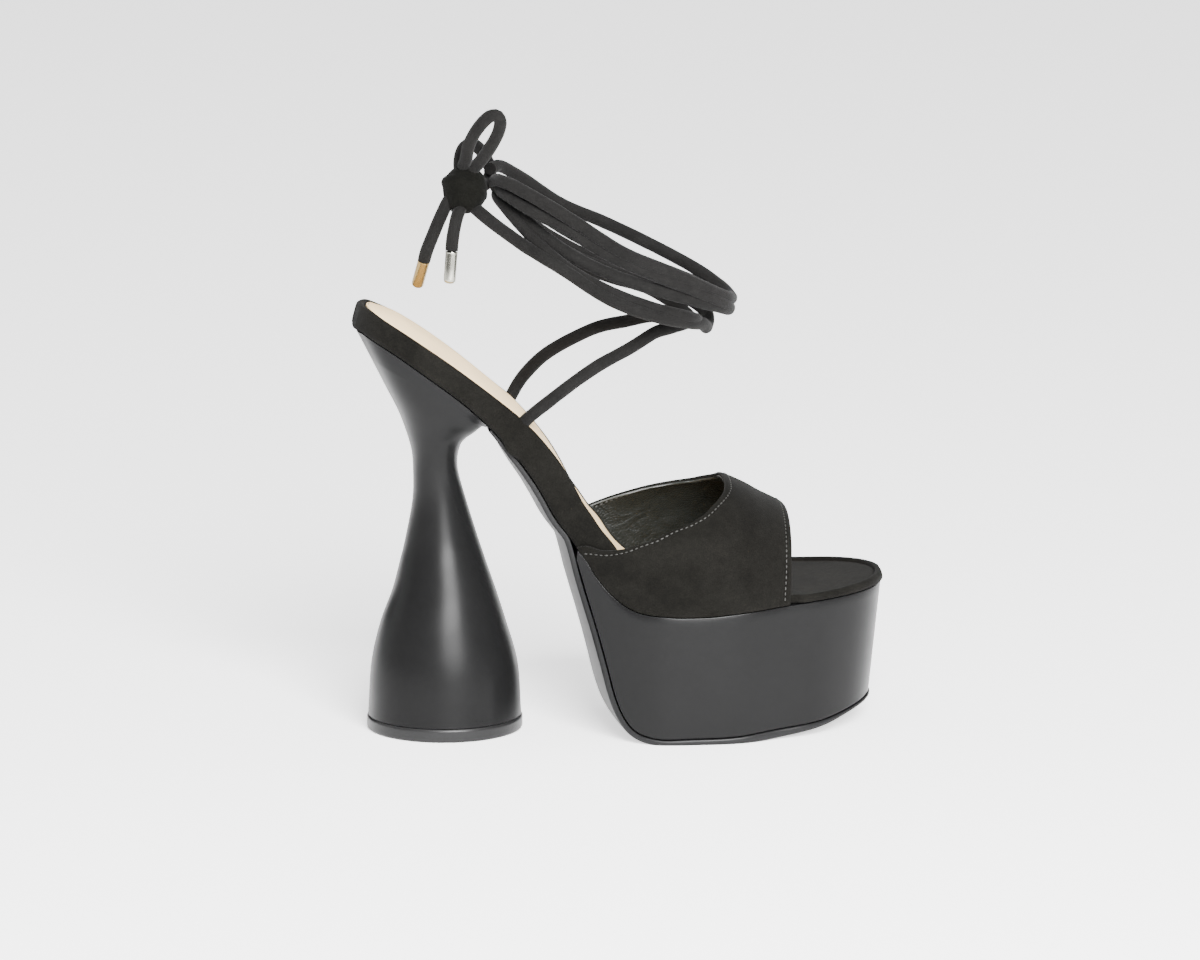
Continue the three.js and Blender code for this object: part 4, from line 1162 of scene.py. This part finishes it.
def vamp_form(z, f):
    """Forefoot band: a wall with soft edges, sunk a little along its stitches."""
    even = np.linspace(0, 1, 140)
    angles = 180 * (0.5 - 0.5 * np.cos(np.pi * even)) * 0.35 + 180 * even * 0.65
    edge = np.array([0, 0.25, 0.6, 1.1, 1.6, 1.95, 2.2, 2.45, 2.8, 3.4, 4.4])

    def distances(span):
        span = span[:, None]
        middle = edge[-1] + (span - 2 * edge[-1]) * np.linspace(0, 1, 26)[None, 1:-1]
        return np.hstack([np.broadcast_to(edge, (len(span), len(edge))), middle, span - edge[::-1]])

    outer, normal, x = vamp_grid(z, f, angles, distances)
    across = np.linalg.norm(x[:, :1] - x[:, -1:], axis=1)[:, None]
    from_throat = x - x[:, :1]
    from_front = across - from_throat
    near = np.minimum(from_throat, from_front)
    sunk = 0.16 * np.exp(-(((near - z.stitch_margin) / 0.45) ** 2)) + 0.22 * np.exp(-((near / 0.45) ** 2))
    face = outer - normal * sunk[..., None]
    lining = outer - normal * z.vamp_wall
    for c in range(len(angles)):
        for r in range(x.shape[1]):
            p = lining[c, r]
            n = noise.noise(Vector(p) * 0.16) * 0.35 + noise.noise(Vector(p) * 0.4) * 0.12
            lining[c, r] = p - normal[c, r] * n * min(1, near[c, r] / 4)
    lining += normal * (0.18 * np.exp(-((near / 0.45) ** 2)))[..., None]
    lining[..., 2] = np.maximum(lining[..., 2], rim_under_vamp(z, f, lining[..., 0]))
    loops = np.concatenate([
        face,
        (0.5 * (face[:, -1:] + lining[:, -1:]) + np.array([0.25, 0, 0])),
        lining[:, ::-1],
        (0.5 * (face[:, :1] + lining[:, :1]) - np.array([0.25, 0, 0])),
    ], axis=1)
    count = loops.shape[1]
    points = loops.reshape(-1, 3)
    faces, indices = [], []
    lining_from, lining_to = face.shape[1] + 1, 2 * face.shape[1] + 1
    for c in range(len(angles) - 1):
        for r in range(count):
            a, b = c * count + r, c * count + (r + 1) % count
            faces.append((a, b, b + count, a + count))
            indices.append(1 if lining_from <= r < lining_to - 1 else 0)
    last = (len(angles) - 1) * count
    half = face.shape[1]
    for r in range(half - 1):
        a, b = r, r + 1
        c, d = count - 2 - r, count - 3 - r
        faces += [(a, b, d, c), (last + b, last + a, last + c, last + d)]
        indices += [0, 0]
    faces += [(half - 1, half, half + 1), (0, count - 2, count - 1)]
    faces += [(last + half + 1, last + half, last + half - 1), (last + count - 1, last + count - 2, last)]
    indices += [0, 0, 0, 0]
    return points, faces, indices


def edge_path(z, f, edge, margin, height, low=3, high=177):
    """Points along the vamp's throat or front, margin inside its edge, height off its outer face."""
    angles = np.linspace(low, high, 260)
    x = along(VAMP_EDGE, "angle", edge, angles) * z.length + (margin if edge == "throat" else -margin)
    return vamp_point(z, f, x, angles) + vamp_normal(z, f, x, angles) * height


def stitch_tree():
    """Geometry nodes that lay stitches along edges."""
    tree = bpy.data.node_groups.new("Stitches along edges", "GeometryNodeTree")
    face = tree.interface
    face.new_socket("Geometry", in_out="INPUT", socket_type="NodeSocketGeometry")
    for label, kind, value in (
        ("Pitch", "NodeSocketFloat", 0.0024), ("Stitch length", "NodeSocketFloat", 0.0017),
        ("Thread", "NodeSocketFloat", 0.0005), ("Seed", "NodeSocketInt", 7),
        ("Material", "NodeSocketMaterial", None),
    ):
        socket = face.new_socket(label, in_out="INPUT", socket_type=kind)
        if value is not None:
            socket.default_value = value
    face.new_socket("Geometry", in_out="OUTPUT", socket_type="NodeSocketGeometry")
    given, result = tree.nodes.new("NodeGroupInput"), tree.nodes.new("NodeGroupOutput")
    line = add(tree, "GeometryNodeMeshToCurve", {"Mesh": given.outputs["Geometry"]})
    spacing = {"Curve": line.outputs[0], "Length": given.outputs["Pitch"]}
    spaced = add(tree, "GeometryNodeResampleCurve", spacing, mode="LENGTH")
    ball = add(tree, "GeometryNodeMeshUVSphere", {"Segments": 8, "Rings": 6, "Radius": 0.5})
    size = add(tree, "ShaderNodeCombineXYZ", {
        "X": given.outputs["Stitch length"], "Y": given.outputs["Thread"], "Z": given.outputs["Thread"],
    })
    stitch = add(tree, "GeometryNodeTransform", {"Geometry": ball.outputs["Mesh"], "Scale": size.outputs[0]})
    way = add(tree, "GeometryNodeInputTangent")
    turn = add(tree, "FunctionNodeAlignRotationToVector", {"Vector": way.outputs[0]}, axis="X")
    loose = add(tree, "FunctionNodeRandomValue", data_type="FLOAT")
    tree.links.new(given.outputs["Seed"], next(s for s in loose.inputs if s.name == "Seed"))
    low, high = [s for s in loose.inputs if s.name in ("Min", "Max") and s.type == "VALUE"][:2]
    low.default_value, high.default_value = 0.88, 1.08
    value = next(s for s in loose.outputs if s.type == "VALUE")
    laid = add(tree, "GeometryNodeInstanceOnPoints", {
        "Points": spaced.outputs[0], "Instance": stitch.outputs[0],
        "Rotation": turn.outputs[0], "Scale": value,
    })
    real = add(tree, "GeometryNodeRealizeInstances", {"Geometry": laid.outputs[0]})
    soft = add(tree, "GeometryNodeSetShadeSmooth", {"Geometry": real.outputs[0]})
    done = add(tree, "GeometryNodeSetMaterial", {
        "Geometry": soft.outputs[0], "Material": given.outputs["Material"],
    })
    tree.links.new(done.outputs[0], result.inputs[0])
    return tree


def stitched(name, paths, pitch, length, width):
    """Stitches along paths, as one plain mesh."""
    points, edges = [], []
    for path in paths:
        start = len(points)
        points += [tuple(p * MM) for p in path]
        edges += [(start + i, start + i + 1) for i in range(len(path) - 1)]
    mesh = bpy.data.meshes.new(name + "_path")
    mesh.from_pydata(points, edges, [])
    carrier = placed(name + "_path", mesh)
    tree = stitch_tree()
    modifier = carrier.modifiers.new("Stitches", "NODES")
    modifier.node_group = tree
    named = {s.name: s.identifier for s in tree.interface.items_tree if s.in_out == "INPUT"}
    modifier[named["Pitch"]] = pitch * MM
    modifier[named["Stitch length"]] = length * MM
    modifier[named["Thread"]] = width * MM
    modifier[named["Material"]] = thread()
    plain = plain_mesh(carrier)
    plain.name = name
    made = placed(name, plain)
    if not len(plain.polygons):
        raise RuntimeError(f"{name}: no stitch was made")
    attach(made, "root")
    return made


# Operators


class SANDAL_OT_camera(bpy.types.Operator):
    """Set the camera at the side view from a little above and behind"""

    bl_idname = "sandal.camera"
    bl_label = "Camera"

    def execute(self, context):
        data = bpy.data.cameras.new("camera")
        data.lens, data.sensor_width = CAMERA.lens, CAMERA.sensor
        data.clip_end = CAMERA.sees_to
        made = placed("camera", data)
        made.location = CAMERA.at
        made.rotation_euler = (math.radians(90 - CAMERA.down), 0, math.radians(-CAMERA.turned))
        context.scene.camera = made
        return {"FINISHED"}


class SANDAL_OT_ties(bpy.types.Operator):
    """Lay the ankle ties, the knot, the bow and its metal ends"""

    bl_idname = "sandal.ties"
    bl_label = "Ties and bow"

    def execute(self, context):
        z = sizes()
        outer = tube(tie_line(z, OUTER_LEAD, OUTER_TURNS), z.cord, seed=1.0)
        inner = tube(tie_line(z, INNER_LEAD, INNER_TURNS), z.cord, seed=9.0)
        both = joined(outer, inner)
        piece("ankle_ties", both[0], both[1], [cord_suede()], "ankle_tie", "cord_suede", uv=both[2])
        self.knot(z)
        ends = (
            ("outer", NEAR_LOOP_AND_END, ("bow_loop_near", "tie_end_outer"), gold_metal(), "aglet_gold"),
            ("inner", FAR_LOOP_AND_END, ("bow_loop_far", "tie_end_inner"), silver_metal(), "aglet_silver"),
        )
        for side, rows, nodes, metal, slot in ends:
            line = smooth_line([place(z, row) for row in rows], fine=16)
            made = tube(line, z.cord, seed=17.0 if side == "outer" else 31.0)
            cord = piece(
                "bow_cord_" + side, made[0], made[1], [cord_suede()], nodes, "cord_suede", uv=made[2]
            )
            end = self.metal_end(z, "metal_end_" + side, line, metal, "aglet_" + side, slot)
        return {"FINISHED"}

    def knot(self, z):
        """Knot of the two cords: wraps pulled tight round a core until they flow together."""
        centre = place(z, KNOT_AT)
        radius = z.knot / 2 - z.cord / 2 + 0.1
        wraps = []
        for turn_y, turn_z, tilt, size, drop in (
            (0.45, 0.5, 0.8, 1.0, 0.9), (1.9, -0.5, 0.6, 0.97, -1.2), (1.15, 1.3, -0.7, 0.86, 0.2),
            (2.6, 0.2, 0.5, 0.8, 1.8),
        ):
            t = np.linspace(0, 2 * np.pi, 49)
            reach = radius * size
            ring = np.stack([reach * np.cos(t), reach * np.sin(t), tilt * np.sin(2 * t)], axis=1)
            c, s = math.cos(turn_y), math.sin(turn_y)
            ring = ring @ np.array([[c, 0, -s], [0, 1, 0], [s, 0, c]])
            c, s = math.cos(turn_z), math.sin(turn_z)
            ring = ring @ np.array([[c, s, 0], [-s, c, 0], [0, 0, 1]])
            wrap = Line(ring + centre + np.array([0, 0, drop]))
            wraps.append(tube(wrap, z.cord, seed=3.0 + turn_y, stride=1.0))
        rounds = np.linspace(0.06, math.pi - 0.06, 18)
        core = lathed([(0.46 * z.knot * math.sin(a), -0.5 * z.knot * math.cos(a)) for a in rounds], 32)
        form = joined((core[0] + centre, core[1], core[2]), *wraps)
        rough = piece("knot_rough", form[0], form[1], [])
        grown = rough.modifiers.new("Grown together", "REMESH")
        grown.mode, grown.voxel_size = "VOXEL", 0.00042
        soft = rough.modifiers.new("Soft", "SMOOTH")
        soft.factor, soft.iterations = 0.6, 16
        mesh = plain_mesh(rough)
        mesh.name = "knot"
        mesh.materials.clear()
        mesh.materials.append(knot_suede_painted_shade())
        mesh.polygons.foreach_set("use_smooth", [True] * len(mesh.polygons))
        made = placed("knot", mesh)
        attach(made, "root")
        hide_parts("tie_knot")
        return made

    def metal_end(self, z, name, line, metal, node, slot):
        """Metal end: a tube with a rolled mouth and a domed tip, in line with the cord's end."""
        radius, size = z.aglet / 2, z.aglet_length
        profile = [
            (0.55 * radius, 0.25), (radius - 0.25, 0), (radius, 0.1), (radius + 0.08, 0.35), (radius, 0.65),
            (radius, 0.8), (radius, size / 2), (radius, size - 1.5), (radius - 0.02, size - 1.35),
            (radius - 0.1, size - 1.0), (0.86 * radius, size - 0.6), (0.6 * radius, size - 0.15),
            (0.3 * radius, size),
        ]
        points, faces, uv = lathed(profile, 40)
        tip, way = line.at(1.0), line.way(1.0)
        way = way / np.linalg.norm(way)
        turn = Vector((0, 0, 1)).rotation_difference(Vector(way)).to_matrix()
        points = points @ np.array(turn).T + tip + way * z.gap
        return piece(name, points, faces, [metal], node, slot, sharp=50, uv=uv)


class SANDAL_OT_sole(bpy.types.Operator):
    """Build the outsole and the platform"""

    bl_idname = "sandal.sole"
    bl_label = "Outsole and platform"

    def execute(self, context):
        z = sizes()
        f = forms(z)
        piece("outsole_sheet", *outsole_form(z, f), [sole_rubber()], "outsole", "outsole", sharp=50)
        piece("platform_cover", *platform_form(z, f), [cover()], "platform", "platform_cover", sharp=50)
        return {"FINISHED"}


class SANDAL_OT_heel(bpy.types.Operator):
    """Build the heel and its top piece"""

    bl_idname = "sandal.heel"
    bl_label = "Heel"

    def execute(self, context):
        z = sizes()
        f = forms(z)
        piece("heel_cover", *lofted(heel_rings(z, f)), [cover()], "heel", "heel_cover", sharp=50)
        radius, high = z.heel_base / 2, z.top_piece
        profile = [
            (0.9 * radius, 0), (radius - 0.9, 0), (radius - 0.45, 0.1), (radius - 0.12, 0.4), (radius, 0.9),
            (radius, 1.4), (radius, high - 1.6), (radius, high - 1.1), (radius - 0.12, high - 0.75),
            (radius - 0.5, high - z.gap), (radius - 2, high - z.gap),
        ]
        points, faces, uv = lathed(profile, 128)
        centre = (HEEL[0]["back"] + HEEL[0]["breast"]) / 2 * z.length
        points = points + np.array([centre, heel_middle(z), 0])
        piece("heel_tip", points, faces, [top_rubber()], "heel_top_piece", "top_piece", uv=uv)
        return {"FINISHED"}


class SANDAL_OT_footbed(bpy.types.Operator):
    """Build the footbed and its cream sock"""

    bl_idname = "sandal.footbed"
    bl_label = "Footbed and sock"

    def execute(self, context):
        z = sizes()
        f = forms(z)
        piece("footbed_band", *footbed_form(z, f), [suede()], "footbed", "footbed_suede", sharp=60)
        sock = piece("sock_lining", *sock_form(z, f), [sock_leather()], "sock", "sock_leather", sharp=60)
        return {"FINISHED"}


class SANDAL_OT_vamp(bpy.types.Operator):
    """Build the forefoot band with its lining and stitches"""

    bl_idname = "sandal.vamp"
    bl_label = "Forefoot band"

    def execute(self, context):
        z = sizes()
        f = forms(z)
        points, faces, indices = vamp_form(z, f)
        piece(
            "vamp_band", points, faces, [suede(), lining_leather()], "vamp", "upper_suede", sharp=60,
            indices=indices,
        )
        face, lining = -0.06, -z.vamp_wall - 0.12
        rim = Line(edge_path(z, f, "throat", 0.75, -z.vamp_wall - 0.1, 10, 170))
        edge = tube(rim, 0.95, sides=10, stride=0.9, wobble=0.05, seed=5.0)
        piece("vamp_turned_edge", edge[0], edge[1], [turned_edge()], slot="upper_suede", uv=edge[2])
        paths = [
            edge_path(z, f, "throat", z.stitch_margin, face), edge_path(z, f, "front", z.stitch_margin, face),
            edge_path(z, f, "throat", z.stitch_margin, lining, 8, 172),
            edge_path(z, f, "front", z.stitch_margin, lining, 8, 172),
        ]
        made = stitched("vamp_stitches", paths, z.stitch_pitch, STITCH_SHARE * z.stitch_pitch, THREAD_WIDE)
        return {"FINISHED"}


class SANDAL_OT_stage(bpy.types.Operator):
    """Set the pale floor and the soft studio light"""

    bl_idname = "sandal.stage"
    bl_label = "Stage"

    def execute(self, context):
        mesh = bpy.data.meshes.new("floor")
        half = FLOOR.half
        corners = [(-half, -half, 0), (half, -half, 0), (half, half, 0), (-half, half, 0)]
        mesh.from_pydata(corners, [], [(0, 1, 2, 3)])
        mesh.materials.append(self.paper())
        placed("floor", mesh)
        context.scene.world = self.studio()
        sun = bpy.data.lights.new("overhead", "SUN")
        sun.energy, sun.angle = SUN.strength, math.radians(SUN.spread)
        placed("overhead", sun).rotation_euler = (math.radians(SUN.forward), math.radians(SUN.sideways), 0)
        for box in SOFTBOXES:
            self.softbox(**box)
        return {"FINISHED"}

    def paper(self):
        made = bpy.data.materials.new("Pale paper")
        made.use_nodes = True
        tree = made.node_tree
        shader = tree.nodes["Principled BSDF"]
        shader.inputs["Roughness"].default_value = 0.9
        shader.inputs["Specular IOR Level"].default_value = 0.2
        coords = add(tree, "ShaderNodeTexCoord")
        cloud = noise_at(tree, coords.outputs["Object"], 1.4, 2.0)
        clouded = add(tree, "ShaderNodeMix", {0: cloud, 6: FLOOR.darker, 7: FLOOR.lighter}, data_type="RGBA")
        tree.links.new(clouded.outputs[2], shader.inputs["Base Color"])
        shader.inputs["Emission Color"].default_value = FLOOR.glow_colour
        shader.inputs["Emission Strength"].default_value = FLOOR.glow
        return made

    def studio(self):
        """Room light: bright behind and above, dim in front, so that the strip reads on the gloss."""
        world = bpy.data.worlds.new("studio")
        world.use_nodes = True
        tree = world.node_tree
        way = add(tree, "ShaderNodeTexCoord")
        parts = add(tree, "ShaderNodeSeparateXYZ", {0: way.outputs["Generated"]})
        behind = ranged(tree, parts.outputs["Y"], -0.35, 0.35, 0.08, 0.75)
        above = ranged(tree, parts.outputs["Z"], 0.45, 0.95, 0.0, 1.2)
        light = calc(tree, "ADD", behind, above)
        tree.links.new(light, tree.nodes["Background"].inputs["Strength"])
        return world

    def softbox(self, name, at, wide, high, power):
        data = bpy.data.lights.new(name, "AREA")
        data.shape, data.size, data.size_y, data.energy = "RECTANGLE", wide, high, power
        made = placed(name, data)
        made.location = at
        made.rotation_euler = (LIT_POINT - Vector(at)).to_track_quat("-Z", "Y").to_euler()


class SANDAL_PT_panel(bpy.types.Panel):
    """Steps and sizes of the sandal"""

    bl_idname = "SANDAL_PT_panel"
    bl_label = "Platform sandal"
    bl_space_type = "VIEW_3D"
    bl_region_type = "UI"
    bl_category = "Sandal"

    def draw(self, context):
        for step in STEPS:
            self.layout.operator(step.bl_idname)
        for group in (context.scene.sandal_sizes, context.scene.sandal_colours):
            for name in type(group).__annotations__:
                self.layout.prop(group, name)


STEPS = (
    SANDAL_OT_camera, SANDAL_OT_ties, SANDAL_OT_sole, SANDAL_OT_heel, SANDAL_OT_footbed, SANDAL_OT_vamp,
    SANDAL_OT_stage,
)
CLASSES = (SandalSizes, SandalColours, *STEPS, SANDAL_PT_panel)


def register():
    for cls in CLASSES:
        bpy.utils.register_class(cls)
    bpy.types.Scene.sandal_sizes = PointerProperty(type=SandalSizes)
    bpy.types.Scene.sandal_colours = PointerProperty(type=SandalColours)


def unregister():
    del bpy.types.Scene.sandal_colours
    del bpy.types.Scene.sandal_sizes
    for cls in reversed(CLASSES):
        bpy.utils.unregister_class(cls)


def main():
    register()
    bpy.ops.sandal.camera()
    bpy.ops.sandal.ties()
    bpy.ops.sandal.sole()
    bpy.ops.sandal.heel()
    bpy.ops.sandal.footbed()
    bpy.ops.sandal.vamp()
    bpy.ops.sandal.stage()


if __name__ == "__main__":
    main()
